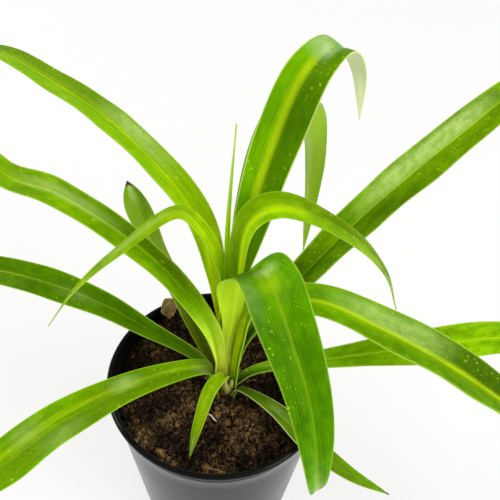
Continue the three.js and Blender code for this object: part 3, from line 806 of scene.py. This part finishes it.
def potProfile():
    top, lip = potSizes["height"], potSizes["lipRadius"]
    lipFoot = top - potSizes["lipHeight"]
    bandFoot = lipFoot - potSizes["bandDrop"]
    rise, wall, floor = potSizes["bandRise"], potSizes["wall"], potSizes["floor"]
    profile = potSizes["sole"] + [(wallRadius(h), h) for h in (1, *potSizes["wallHeights"])]
    profile += [(wallRadius(bandFoot - 1), bandFoot - 1), (wallRadius(bandFoot) + rise, bandFoot)]
    for k in range(potSizes["rings"]):
        at = bandFoot + potSizes["bandDrop"] * (k + 1) / (potSizes["rings"] + 1)
        out = wallRadius(at) + rise
        profile += [(out, at - 0.55), (out + potSizes["ringRise"], at - 0.25),
                    (out + potSizes["ringRise"], at + 0.25), (out, at + 0.55)]
    profile += [(wallRadius(lipFoot) + rise, lipFoot - 0.2), (lip - 1.3, lipFoot - 0.1)]
    wide, tall = potSizes["lipRound"]
    for k in range(7):
        turn = math.radians(-60 + 25 * k)
        profile.append((lip - wide + wide * math.cos(turn), top - tall + tall * max(math.sin(turn), -0.86)))
    inner = lip - potSizes["lipWidth"]
    profile += [(inner + 0.35, top - 0.05), (inner, top - 0.4), (inner - 0.45, top - 1.3)]
    profile += [(wallRadius(lipFoot) - wall, lipFoot + 0.6), (wallRadius(90) - wall, 90)]
    profile += [(wallRadius(floor) - wall + 0.1, floor + 0.7), (wallRadius(floor) - wall - 0.7, floor),
                (0, floor)]
    return [(r * mm, h * mm) for r, h in profile]


def makePot():
    pot = turnedPiece("pot_shell", potProfile(), potSizes["sides"], potFinish())
    drill = bmesh.new()
    for k in range(potSizes["drainCount"]):
        turn = (k + 0.5) * 2 * math.pi / potSizes["drainCount"]
        ring = potSizes["drainRing"] * mm
        place = Matrix.Translation((ring * math.cos(turn), ring * math.sin(turn), 0))
        radius = potSizes["drainRadius"] * mm
        bmesh.ops.create_cone(drill, cap_ends=True, segments=potSizes["drillSides"], radius1=radius,
                              radius2=radius, depth=potSizes["drillDepth"], matrix=place)
    drillMesh = bpy.data.meshes.new("drain_drill")
    drill.to_mesh(drillMesh)
    drill.free()
    cutter = addObject("drain_drill", drillMesh)
    cut = pot.modifiers.new("drain holes", "BOOLEAN")
    cut.operation = "DIFFERENCE"
    cut.object = cutter
    cut.solver = "EXACT"
    mesh = appliedMesh(pot)
    pot.modifiers.remove(cut)
    pot.data = mesh
    bpy.data.objects.remove(cutter)
    mesh.set_sharp_from_angle(angle=math.radians(potSizes["sharpAbove"]))
    onPlant(pot, "pot_plastic", "pot")


makePot()
print("pot turned")


# Soil: a lumpy bed of peat and coir, with clods, crumbs, grains and fibres lying on it. A mound or patch is
# its middle, its spread, and its height or strength.
soilSizes = {
    "level": 96.9, "dip": 1.2, "dipStart": 42.0, "dipWidth": 12.0, "wallFit": 0.45, "rings": 150,
    "sectors": 420, "highest": 102.0, "reach": 53.0, "floorGap": 0.3, "topDrop": 3, "bitLift": 0.9,
    "lumpScale": 75.0, "lumpRise": 2.6, "clodScale": 270.0, "clodRise": 2.3, "grainScale": 950.0,
    "grainRise": 1.0,
    "mounds": [((-28, 43), 8, 6.6), ((25, -26), 13, 1.8), ((-30, -32), 12, 1.2), ((-46, 14), 13, 2.6),
               ((4, -2), 10, 2.0), ((-2, -38), 9, -1.2), ((-12, -16), 7, -1.6), ((34, 10), 9, -1.0)],
    "dryPatches": [((-15, -8), 9, 1.0), ((-28, -23), 7, 0.8), ((4, -16), 9, 0.9), ((14, -29), 12, 0.85),
                   ((-41, -33), 9, 1.0), ((-27, -47), 7, 0.8), ((-1, -50), 6, 0.9), ((-33, 23), 9, 0.6)],
    "shadowPatches": [((33, -4), 14, 0.8), ((32, -28), 10, 0.7), ((-37, -19), 8, 0.8), ((-18, 38), 14, 0.6),
                    ((-2, -33), 7, 0.8), ((-13, -42), 9, 0.7), ((-48, 8), 14, 0.8), ((-22, -33), 6, 0.6)],
}


def soilGround(x, y):
    radius = math.hypot(x, y)
    fall = smooth((radius - soilSizes["dipStart"]) / soilSizes["dipWidth"])
    height = soilSizes["level"] - soilSizes["dip"] * fall
    for (mx, my), spread, rise in soilSizes["mounds"]:
        height += rise * math.exp(-((x - mx) ** 2 + (y - my) ** 2) / spread ** 2)
    lumps = noise.fractal(Vector((x, y, 3.0)) * mm * soilSizes["lumpScale"], 1.0, 2.1, 3)
    return height + soilSizes["lumpRise"] * lumps


def soilHeight(x, y):
    place = Vector((x, y, 3.0)) * mm
    clods = noise.voronoi(place * soilSizes["clodScale"])[0]
    height = soilGround(x, y) + soilSizes["clodRise"] * (min(clods[1] - clods[0], 0.6) - 0.35)
    height += soilSizes["grainRise"] * noise.fractal(place * soilSizes["grainScale"], 0.8, 2.2, 3)
    return min(height, soilSizes["highest"])


# The strongest of some round patches at a place, from 0 to 1, with noise to pull them out of round
def patchesAt(place, patches, least):
    warp = centred(noiseAt(place, 110.0, 3.0, 0.6, "Color"))
    pulled = calcVector("ADD", place, scaled(warp, 0.012))
    flatPlace = calcVector("MULTIPLY", pulled, (1.0, 1.0, 0.0))
    strongest = least
    for (x, y), spread, strength in patches:
        away = calcVector("DISTANCE", flatPlace, (x * mm, y * mm, 0.0))
        strongest = calc("MAXIMUM", strongest,
                         mapRange(away, 1.2 * spread * mm, 0.3 * spread * mm, 0.0, strength))
    return strongest


# How dark the mix is under painted shadow, as a factor on its colour: round patches where the leaves
# shade the soil, over broad darker blotches from noise
def paintedShadow(place):
    broad = mapRange(noiseAt(place, 60.0, 3.0, 0.6), 0.48, 0.66, 0.0, 0.6)
    shadow = patchesAt(place, soilSizes["shadowPatches"], broad)
    return timesPlus(shadow, -0.85, 1.0)


# How dry and pale the mix is at a place, from 0 to 1
def dryness(place):
    dry = mapRange(noiseAt(place, 80.0, 3.0, 0.6), 0.5, 0.66, 0.0, 0.4)
    dry = patchesAt(place, soilSizes["dryPatches"], dry)
    return times(dry, mapRange(noiseAt(place, 330.0, 3.0, 0.7), 0.36, 0.6))


def soilFinish():
    finish, tree, shader = newFinish("potting_mix")
    place = objectPlace(tree)
    lumps = noiseAt(place, 150.0, 6.0, 0.65)
    grains = noiseAt(place, 1000.0, 4.0, 0.7)
    hairs = noiseAt(calcVector("MULTIPLY", place, (1.0, 0.3, 1.0)), 1600.0, 3.0, 0.6)
    rise = readAttribute(tree, "bedRise")
    colour = mixColour(mapRange(lumps, 0.35, 0.65), tint(30, 18, 12), tint(84, 58, 38))
    colour = mixColour(dryness(place), colour, tint(176, 142, 96))
    colour = mixColour(mapRange(grains, 0.55, 0.7, 0.0, 0.6), colour, tint(140, 110, 76))
    colour = mixColour(mapRange(hairs, 0.62, 0.7, 0.0, 0.5), colour, tint(176, 140, 96))
    # painted shade: the low places between the clods are darkened towards near black
    gaps = times(mapRange(rise, -1.0, 0.6), mapRange(grains, 0.36, 0.52, 0.3, 1.0))
    colour = mixColour(gaps, tint(9, 5, 3), colour)
    # painted shadow where the leaves shade the soil
    colour = darkened(colour, paintedShadow(place))
    setInputs(shader, {"Base Color": colour, "Roughness": 0.95, "Specular IOR Level": 0.12})
    bump(shader, timesPlus(grains, 0.7, hairs), 0.0011, 1.0)
    return finish


def makeSoilBed(finish):
    rings, sectors = soilSizes["rings"], soilSizes["sectors"]
    bottom = potSizes["floor"] + soilSizes["floorGap"]
    wall, fit = potSizes["wall"], soilSizes["wallFit"]
    topRadius = wallRadius(soilSizes["level"] - soilSizes["topDrop"]) - wall - fit
    footRadius = wallRadius(bottom) - wall - fit
    points, rises = [(0, 0, bottom)], [0.0]
    rows = []
    for k in range(rings + 1):
        radius = footRadius if k == 0 else topRadius * (rings + 1 - k) / rings
        rows.append(range(len(points), len(points) + sectors))
        for j in range(sectors):
            turn = 2 * math.pi * j / sectors
            x, y = radius * math.cos(turn), radius * math.sin(turn)
            height = soilHeight(x, y)
            points.append((x, y, bottom if k == 0 else height))
            rises.append(height - soilGround(x, y))
    apex = len(points)
    points.append((0, 0, soilHeight(0, 0)))
    rises.append(0.0)
    faces = []
    for j in range(sectors):
        n = (j + 1) % sectors
        faces.append((0, rows[0][n], rows[0][j]))
        faces.append((apex, rows[-1][j], rows[-1][n]))
        for lower, upper in zip(rows, rows[1:]):
            faces.append((lower[j], lower[n], upper[n], upper[j]))
    bed = meshPiece("soil_bed", [Vector(p) * mm for p in points], faces, finish)
    bed.data.attributes.new("bedRise", "FLOAT", "POINT").data.foreach_set("value", rises)
    onPlant(bed, "potting_mix", "soil")
    return bed


# Each crumb or fibre has its own tone, is paler where the mix is dry, and is darker under the painted
# shadow that the leaves cast on the soil
def toneFinish(name, dark, pale, dried):
    finish, tree, shader = newFinish(name)
    place = objectPlace(tree)
    mottle = noiseAt(place, 1300.0, 4.0, 0.65)
    shade = timesPlus(minus(mottle, 0.5), 1.2, readAttribute(tree, "pieceTone"), clamp=True)
    dry = times(dryness(place), mapRange(mottle, 0.35, 0.6, 0.3, 1.0))
    colour = mixColour(dry, mixColour(shade, dark, pale), dried)
    # painted shadow where the leaves shade the soil, as on the bed
    colour = darkened(colour, paintedShadow(place))
    setInputs(shader, {"Base Color": colour, "Roughness": 0.92, "Specular IOR Level": 0.15})
    bump(shader, mottle, 0.0005, 0.9)
    return finish


def makeCrumbTree():
    tree, given, result = newGeometryTree("soilCrumbs", {
        "Density": "Float", "Smallest": "Float", "Largest": "Float", "Roughness": "Float", "Reach": "Float",
        "Fineness": "Int", "Seed": "Int", "Finish": "Material"})

    def draw(offset, low, high, kind="FLOAT"):
        made = addNode(tree, "FunctionNodeRandomValue", {"Seed": plus(given["Seed"], offset)},
                       data_type=kind)
        if kind == "FLOAT_VECTOR":
            plug(made.inputs["Min"], low)
            plug(made.inputs["Max"], high)
            return made.outputs[0]
        return timesPlus(made.outputs[1], high - low, low)

    place = tree.nodes.new("GeometryNodeInputPosition").outputs[0]
    flatPlace = calcVector("MULTIPLY", place, (1.0, 1.0, 0.0))
    inside = calc("LESS_THAN", calcVector("LENGTH", flatPlace), given["Reach"])
    facing = axesOf(tree.nodes.new("GeometryNodeInputNormal").outputs[0])["Z"]
    chosen = times(inside, calc("GREATER_THAN", facing, 0.1))
    spread = addNode(tree, "GeometryNodeDistributePointsOnFaces", {
        "Mesh": given["Geometry"], "Selection": chosen, "Density": given["Density"], "Seed": given["Seed"]})
    spread.distribute_method = "RANDOM"
    crumb = addNode(tree, "GeometryNodeMeshIcoSphere", {"Radius": 1.0, "Subdivisions": given["Fineness"]})
    size = mapRange(calc("POWER", draw(0.0, 0.0, 1.0), 3.0), 0.0, 1.0, given["Smallest"], given["Largest"],
                    "LINEAR")
    shape = draw(9.0, (0.6, 0.5, 0.4), (1.5, 1.1, 0.9), "FLOAT_VECTOR")
    laid = addNode(tree, "GeometryNodeInstanceOnPoints", {
        "Points": spread.outputs["Points"], "Instance": crumb.outputs["Mesh"],
        "Rotation": draw(4.0, (0.0, 0.0, 0.0), (6.283, 6.283, 6.283), "FLOAT_VECTOR"),
        "Scale": scaled(shape, size)})
    tone = calc("POWER", draw(21.0, 0.0, 1.0), 1.8)
    toned = storeNamed(laid.outputs[0], "pieceTone", tone, domain="INSTANCE")
    real = addNode(tree, "GeometryNodeRealizeInstances", {"Geometry": toned})
    dent = noiseAt(tree.nodes.new("GeometryNodeInputPosition").outputs[0], 900.0, 3.0, 0.6, "Color")
    dent = scaled(centred(dent), given["Roughness"])
    rough = addNode(tree, "GeometryNodeSetPosition", {"Geometry": real.outputs[0], "Offset": dent})
    coloured = addNode(tree, "GeometryNodeSetMaterial",
                       {"Geometry": rough.outputs[0], "Material": given["Finish"]})
    tree.links.new(coloured.outputs[0], result)
    return tree


def makeFibreTree():
    tree, given, result = newGeometryTree("soilFibres", {
        "Thinnest": "Float", "Thickest": "Float", "Seed": "Int", "Sides": "Int", "Finish": "Material"})
    index = tree.nodes.new("GeometryNodeInputIndex").outputs[0]
    toneDraw = addNode(tree, "FunctionNodeRandomValue", {"Seed": given["Seed"], "ID": index},
                       data_type="FLOAT")
    toned = storeNamed(given["Geometry"], "pieceTone", toneDraw.outputs[1], domain="CURVE")
    strand = addNode(tree, "GeometryNodeCurveOfPoint").outputs["Curve Index"]
    thickDraw = addNode(tree, "FunctionNodeRandomValue", {"Seed": plus(given["Seed"], 5.0), "ID": strand},
                        data_type="FLOAT")
    thick = mapRange(calc("POWER", thickDraw.outputs[1], 2.5), 0.0, 1.0, given["Thinnest"],
                     given["Thickest"], "LINEAR")
    share = tree.nodes.new("GeometryNodeSplineParameter").outputs["Factor"]
    fromEnds = times(share, minus(1.0, share))
    ends = calc("SQRT", times(fromEnds, 4.0))
    radius = times(thick, timesPlus(ends, 0.75, 0.25))
    sized = addNode(tree, "GeometryNodeSetCurveRadius", {"Curve": toned, "Radius": radius})
    section = addNode(tree, "GeometryNodeCurvePrimitiveCircle",
                      {"Resolution": given["Sides"], "Radius": 1.0})
    skin = addNode(tree, "GeometryNodeCurveToMesh", {
        "Curve": sized.outputs[0], "Profile Curve": section.outputs["Curve"], "Scale": radius,
        "Fill Caps": True})
    endTree(smoothed(skin.outputs[0]).outputs[0], given["Finish"], result)
    return tree


# A fibre lies on the soil with one end or its middle raised
def strandPath(draw, x, y, length, curl, step=0.8):
    heading = draw.uniform(0, 2 * math.pi)
    bend = draw.gauss(0, curl)
    hop, tilt = draw.uniform(0.0, 0.6), draw.uniform(0.0, 0.8)
    count = max(int(length / step), 3)
    path = []
    for k in range(count + 1):
        share = k / count
        raised = 0.12 + hop * math.sin(math.pi * share) + tilt * share
        path.append(Vector((x, y, soilHeight(x, y) + raised)) * mm)
        heading += bend + draw.gauss(0, 0.12)
        x += step * math.cos(heading)
        y += step * math.sin(heading)
        if math.hypot(x, y) > soilSizes["reach"]:
            break
    return path


# Kinds of strand in millimetres: each is strewn all over the soil, lies in bunches, or follows one line of
# points. A bunch is its middle, its spread and its count.
strandKinds = {
    "soil_fibres": {
        "count": 2300, "reach": 52.0, "lengths": (2.0, 7.5), "curl": 0.08, "draw": 11,
        "thick": (0.04, 0.13), "seed": 4, "sides": 3,
        "finish": "coir_fibre", "tones": (tint(40, 26, 17), tint(150, 116, 76), tint(172, 142, 100)),
    },
    "soil_pale_fibres": {
        "bunches": [((-37, -39), 8.0, 90), ((22, -20), 12.0, 70), ((-29, -23), 9.0, 60),
                    ((3, -49), 8.0, 26), ((-12, -10), 8, 30)],
        "lengths": (1.6, 5.0), "curl": 0.1, "draw": 23, "thick": (0.08, 0.24), "seed": 6, "sides": 4,
        "finish": "pale_coir", "tones": (tint(104, 76, 46), tint(178, 142, 96), tint(168, 138, 96)),
    },
    "soil_root_bit": {
        "line": [(-5.2, -18.4), (-3.4, -19.6), (-2.0, -21.4), (-0.2, -22.8)],
        "thick": (0.4, 0.5), "seed": 2, "sides": 10,
        "finish": "root_bit", "tones": (tint(230, 220, 198), tint(250, 244, 230), tint(246, 238, 220)),
    },
    "soil_straw_bits": {
        "line": [(-5.3, -49.0), (-1.6, -50.2), (2.3, -50.4)], "thick": (0.4, 0.5), "seed": 2, "sides": 10,
        "finish": "straw_bit", "tones": (tint(116, 90, 56), tint(160, 130, 90), tint(156, 128, 90)),
    },
}


def strewnPaths(kind):
    draw = random.Random(kind["draw"])
    paths = []
    while len(paths) < kind["count"]:
        radius = kind["reach"] * math.sqrt(draw.random())
        turn = draw.uniform(0, 2 * math.pi)
        length = draw.uniform(*kind["lengths"]) * draw.uniform(0.4, 1.0)
        path = strandPath(draw, radius * math.cos(turn), radius * math.sin(turn), length, kind["curl"])
        if len(path) > 3:
            paths.append(path)
    return paths


def bunchedPaths(kind):
    draw = random.Random(kind["draw"])
    paths = []
    for (x, y), spread, count in kind["bunches"]:
        for k in range(count):
            length = draw.uniform(*kind["lengths"])
            sideways, onwards = draw.gauss(x, spread / 2), draw.gauss(y, spread / 2)
            path = strandPath(draw, sideways, onwards, length, kind["curl"])
            if len(path) > 3:
                paths.append(path)
    return paths


def linePath(kind):
    flatPath = splineThrough([Vector((x, y, 0)) for x, y in kind["line"]], 6)
    return [Vector((p.x, p.y, soilGround(p.x, p.y) + soilSizes["bitLift"])) * mm for p in flatPath]


def layStrands(name, kind, fibreTree):
    if "line" in kind:
        paths = [linePath(kind)]
    else:
        paths = strewnPaths(kind) if "count" in kind else bunchedPaths(kind)
    thinnest, thickest = kind["thick"]
    values = {
        "Thinnest": thinnest * mm, "Thickest": thickest * mm, "Seed": kind["seed"], "Sides": kind["sides"],
        "Finish": toneFinish(kind["finish"], *kind["tones"]),
    }
    onPlant(grown(polyCurve(name + "_paths", paths), fibreTree, values, name), "potting_mix")


# Sizes of the three kinds of crumb in millimetres, and how many lie on a square metre
crumbKinds = {
    "soil_clods": {"density": 9000.0, "sizes": (0.9, 2.6), "roughness": 3.2, "fineness": 4, "seed": 5},
    "soil_crumbs": {"density": 130000.0, "sizes": (0.35, 1.2), "roughness": 1.3, "fineness": 2, "seed": 3},
    "soil_grains": {"density": 600000.0, "sizes": (0.12, 0.4), "roughness": 0.4, "fineness": 1, "seed": 8},
}


def makeCrumbs(bed, name, kind, crumbTree):
    source = addObject(name + "_source", bed.data.copy())
    smallest, largest = kind["sizes"]
    values = {
        "Density": kind["density"], "Smallest": smallest * mm, "Largest": largest * mm,
        "Reach": soilSizes["reach"] * mm, "Roughness": kind["roughness"] * mm, "Fineness": kind["fineness"],
        "Seed": kind["seed"],
        "Finish": toneFinish(name + "_finish", tint(20, 12, 8), tint(128, 94, 60), tint(208, 162, 102)),
    }
    onPlant(grown(source, crumbTree, values, name), "potting_mix")


soilBed = makeSoilBed(soilFinish())
crumbTree = makeCrumbTree()
for name, kind in crumbKinds.items():
    makeCrumbs(soilBed, name, kind, crumbTree)
fibreTree = makeFibreTree()
for name, kind in strandKinds.items():
    layStrands(name, kind, fibreTree)
print("soil laid")


# Bark chip: a rough slip that stands in its mound, narrows to its foot and leans towards the lip
chipSizes = {
    "size": (4.8, 9.8, 14.0), "lean": 14, "reach": 53.0, "around": 123, "centre": 107.7,
    "narrowing": 1.1, "widest": 1.05,
}


def barkFinish():
    finish, tree, shader = newFinish("bark_slip")
    place = objectPlace(tree)
    grain = noiseAt(calcVector("MULTIPLY", place, (1.0, 1.0, 0.25)), 700.0, 4.0, 0.6)
    spots = noiseAt(place, 260.0, 3.0)
    colour = mixColour(mapRange(grain, 0.35, 0.65), tint(160, 122, 74), tint(206, 170, 116))
    colour = mixColour(mapRange(spots, 0.52, 0.7, 0.0, 0.8), colour, tint(112, 80, 50))
    setInputs(shader, {"Base Color": colour, "Roughness": 0.85})
    bump(shader, grain, 0.0006, 0.8)
    return finish


def makeChip():
    work = bmesh.new()
    bmesh.ops.create_icosphere(work, subdivisions=5, radius=0.5)
    heading = Matrix.Rotation(math.radians(chipSizes["around"]), 4, "Z")
    outwards = Matrix.Translation((chipSizes["reach"], 0, chipSizes["centre"]))
    turn = heading @ outwards @ Matrix.Rotation(math.radians(chipSizes["lean"]), 4, "Y")
    thick, wide, tall = chipSizes["size"]
    for v in work.verts:
        p = v.co.copy()
        rough = 1 + 0.1 * math.sin(p.x * 11 + p.y * 7) + 0.08 * math.cos(p.z * 13 - p.x * 9)
        rough += 0.16 * noise.fractal(p * 3.0 + Vector((4, 1, 7)), 0.9, 2.1, 4)
        girth = rough * min(1 + chipSizes["narrowing"] * p.z, chipSizes["widest"])
        v.co = turn @ Vector((p.x * thick * girth, p.y * wide * girth, p.z * tall * rough)) * mm
    mesh = bpy.data.meshes.new("bark_slip")
    work.to_mesh(mesh)
    work.free()
    mesh.materials.append(barkFinish())
    mesh.polygons.foreach_set("use_smooth", [True] * len(mesh.polygons))
    onPlant(addObject("bark_slip", mesh), "bark", "bark_chip")


makeChip()
print("bark chip placed")


# Crown: the short neck that the leaves grow from, and its fleshy roots in the soil
crownSizes = {
    "centre": (4.0, 0.0), "top": 108.0, "radius": 6.6, "shoulder": 97.0, "bottom": 90.0, "power": 2.2,
    "roots": 5, "rootLength": 44.0, "rootThick": 2.6, "rootThin": 1.1, "rootLean": 20.0, "rootRing": 4.5,
    "sink": 4.0, "footRadius": 5.0, "footRise": 2, "steps": 12, "sides": 48, "rootSteps": 14,
    "rootSides": 16,
}


def crownFinish():
    finish, tree, shader = newFinish("pale_crown")
    place = objectPlace(tree)
    fibres = noiseAt(calcVector("MULTIPLY", place, (1.0, 1.0, 0.12)), 800.0, 3.0)
    height = axesOf(place)["Z"]
    colour = mixColour(mapRange(height, 0.097, 0.106), tint(150, 132, 78), tint(186, 190, 96))
    colour = mixColour(mapRange(fibres, 0.45, 0.7, 0.0, 0.5), colour, tint(110, 80, 48))
    setInputs(shader, {"Base Color": colour, "Roughness": 0.6})
    bump(shader, fibres, 0.0003, 0.7)
    return finish


def tubeFaces(points, faces, path, radii, sides):
    first = len(points)
    for i, (place, radius) in enumerate(zip(path, radii)):
        tangent = (path[min(i + 1, len(path) - 1)] - path[max(i - 1, 0)]).normalized()
        sideways = tangent.cross(Vector((0.3, 0.9, 0.1))).normalized()
        upwards = tangent.cross(sideways)
        for k in range(sides):
            turn = 2 * math.pi * k / sides
            points.append(place + radius * (math.cos(turn) * sideways + math.sin(turn) * upwards))
    for i in range(len(path) - 1):
        for k in range(sides):
            n = (k + 1) % sides
            a, b = first + i * sides + k, first + i * sides + n
            faces.append((a, b, b + sides, a + sides))
    faces.append(tuple(range(first + sides - 1, first - 1, -1)))
    last = first + (len(path) - 1) * sides
    faces.append(tuple(range(last, last + sides)))


def makeCrown():
    cx, cy = crownSizes["centre"]
    bottom, shoulder, widest = (crownSizes[key] for key in ("bottom", "shoulder", "radius"))
    profile = [(0, bottom), (crownSizes["footRadius"], bottom), (widest, bottom + crownSizes["footRise"])]
    steps = crownSizes["steps"]
    for k in range(steps + 1):
        radius = widest * math.cos(k / steps * math.pi / 2)
        share = radius / widest
        rise = (crownSizes["top"] - shoulder) * (1 - share ** crownSizes["power"])
        profile.append((0 if k == steps else radius, shoulder + rise))
    finish = crownFinish()
    neck = turnedPiece("crown_neck", [(r * mm, h * mm) for r, h in profile], crownSizes["sides"], finish,
                       (cx * mm, cy * mm))
    points, faces = [], []
    lean = math.radians(crownSizes["rootLean"])
    for k in range(crownSizes["roots"]):
        around = (k + 0.3) * 2 * math.pi / crownSizes["roots"]
        outwards = Vector((math.cos(around), math.sin(around), 0))
        start = Vector((cx, cy, bottom + crownSizes["sink"])) + outwards * crownSizes["rootRing"]
        path, radii = [], []
        for i in range(crownSizes["rootSteps"] + 1):
            share = i / crownSizes["rootSteps"]
            drop = crownSizes["rootLength"] * share
            place = start + outwards * (drop * math.sin(lean)) - Vector((0, 0, drop * math.cos(lean)))
            path.append(place * mm)
            swell = 1 + 0.12 * math.sin(share * 17 + k)
            thick = crownSizes["rootThick"] * (1 - share) + crownSizes["rootThin"] * share
            radii.append(thick * swell * mm)
        tubeFaces(points, faces, path, radii, crownSizes["rootSides"])
    roots = meshPiece("crown_roots", points, faces, finish)
    faceOutwards(roots)
    onPlant(neck, "crown_flesh", "crown")
    onPlant(roots, "crown_flesh", "crown")


# Old sheaths: short pale scales that clasp the neck
sheathShape = {"footShare": 0.85, "widening": 0.3, "taper": 1.5, "fold": (42, 26), "roll": (0, 0, 0),
               "look": "sheath"}
leafLooks["sheath"] = {
    **leafLooks["mid"], "top": tint(196, 200, 104), "patch": tint(166, 170, 78),
    "foot": tint(196, 186, 120), "footReach": 0.3, "heel": tint(140, 112, 70), "heelReach": 0.12,
    "halo": tint(204, 206, 110), "edge": tint(222, 214, 160), "edgeStrength": 0.6,
    "under": tint(196, 196, 110), "specks": 0.0, "lineStrength": 0.0, "brownTip": 0.12,
}
sheaths = {
    "sheath_front_left": {"heading": -104, "foot": (4.6, -6.6, 98), "width": 6.4,
                          "route": [(2.2, 6, 0.4), (2.6, 12, 0), (1.6, 18.5, -0.6)]},
    "sheath_front_right": {"heading": -70, "foot": (6.6, -5.6, 98), "width": 5.6,
                           "route": [(1.6, 6, 0), (2.0, 12, 0), (1.4, 17, 0)]},
    "sheath_right": {"heading": 30, "foot": (9.5, 2.8, 98), "width": 6.0,
                     "route": [(1.8, 5, 0), (2.6, 10, 0.4)]},
    "sheath_back": {"heading": 100, "foot": (3.4, 6.2, 98), "width": 6.6,
                    "route": [(1.6, 5, 0), (2.8, 11, -0.4)]},
    "sheath_left": {"heading": 190, "foot": (-2.6, 0.6, 98), "width": 6.0,
                    "route": [(2.4, 4, 0), (5.4, 7.5, 0.4)]},
}


makeCrown()
for seed, (name, sheath) in enumerate(sheaths.items()):
    makeLeaf(name, {**sheathShape, **sheath}, seed + 40, bladeTree)
print("crown set")


# Studio: a pale floor, a wide soft light above and behind, and an even white surround
studio = {
    "floorSize": 6.0, "floor": tint(136, 136, 137), "glow": tint(250, 250, 250),
    "surround": (1.0, 0.99, 0.98, 1.0), "surroundStrength": 0.39, "floorGlow": 0.757,
    "lights": [
        {"name": "windowSide", "place": (1.35, -0.75, 1.15), "target": (0.0, 0.0, 0.15), "size": 1.2,
         "power": 28.0, "colour": (1.0, 1.0, 0.99)},
        {"name": "backSoft", "place": (-1.2, 0.5, 1.4), "target": (0.0, 0.0, 0.15), "size": 0.9,
         "power": 17.0, "colour": (1.0, 0.99, 0.97)},
    ],
}


def makeStudio():
    finish, tree, shader = newFinish("pale_floor")
    faint = noiseAt(objectPlace(tree), 3.0, 2.0)
    pale = studio["floor"]
    colour = mixColour(mapRange(faint, 0.3, 0.7), pale, [c * 0.99 for c in pale[:3]] + [1.0])
    setInputs(shader, {
        "Base Color": colour, "Roughness": 0.6, "Emission Color": studio["glow"],
        "Emission Strength": studio["floorGlow"],
    })
    half = studio["floorSize"] / 2
    floor = meshPiece("floor", [(-half, -half, 0), (half, -half, 0), (half, half, 0), (-half, half, 0)],
                      [(0, 1, 2, 3)], finish)
    for lamp in studio["lights"]:
        data = bpy.data.lights.new(lamp["name"], "AREA")
        data.size = lamp["size"]
        data.energy = lamp["power"]
        data.color = lamp["colour"]
        light = addObject(lamp["name"], data)
        aim = Vector(lamp["target"]) - Vector(lamp["place"])
        turn = aim.to_track_quat("-Z", "Y").to_matrix().to_4x4()
        light.matrix_world = Matrix.Translation(lamp["place"]) @ turn
    world = bpy.data.worlds.new("studioSurround")
    world.use_nodes = True
    setInputs(world.node_tree.nodes["Background"], {
        "Color": studio["surround"], "Strength": studio["surroundStrength"],
    })
    bpy.context.scene.world = world
    bpy.context.scene.view_settings.view_transform = "Standard"


makeStudio()
print("studio lit")
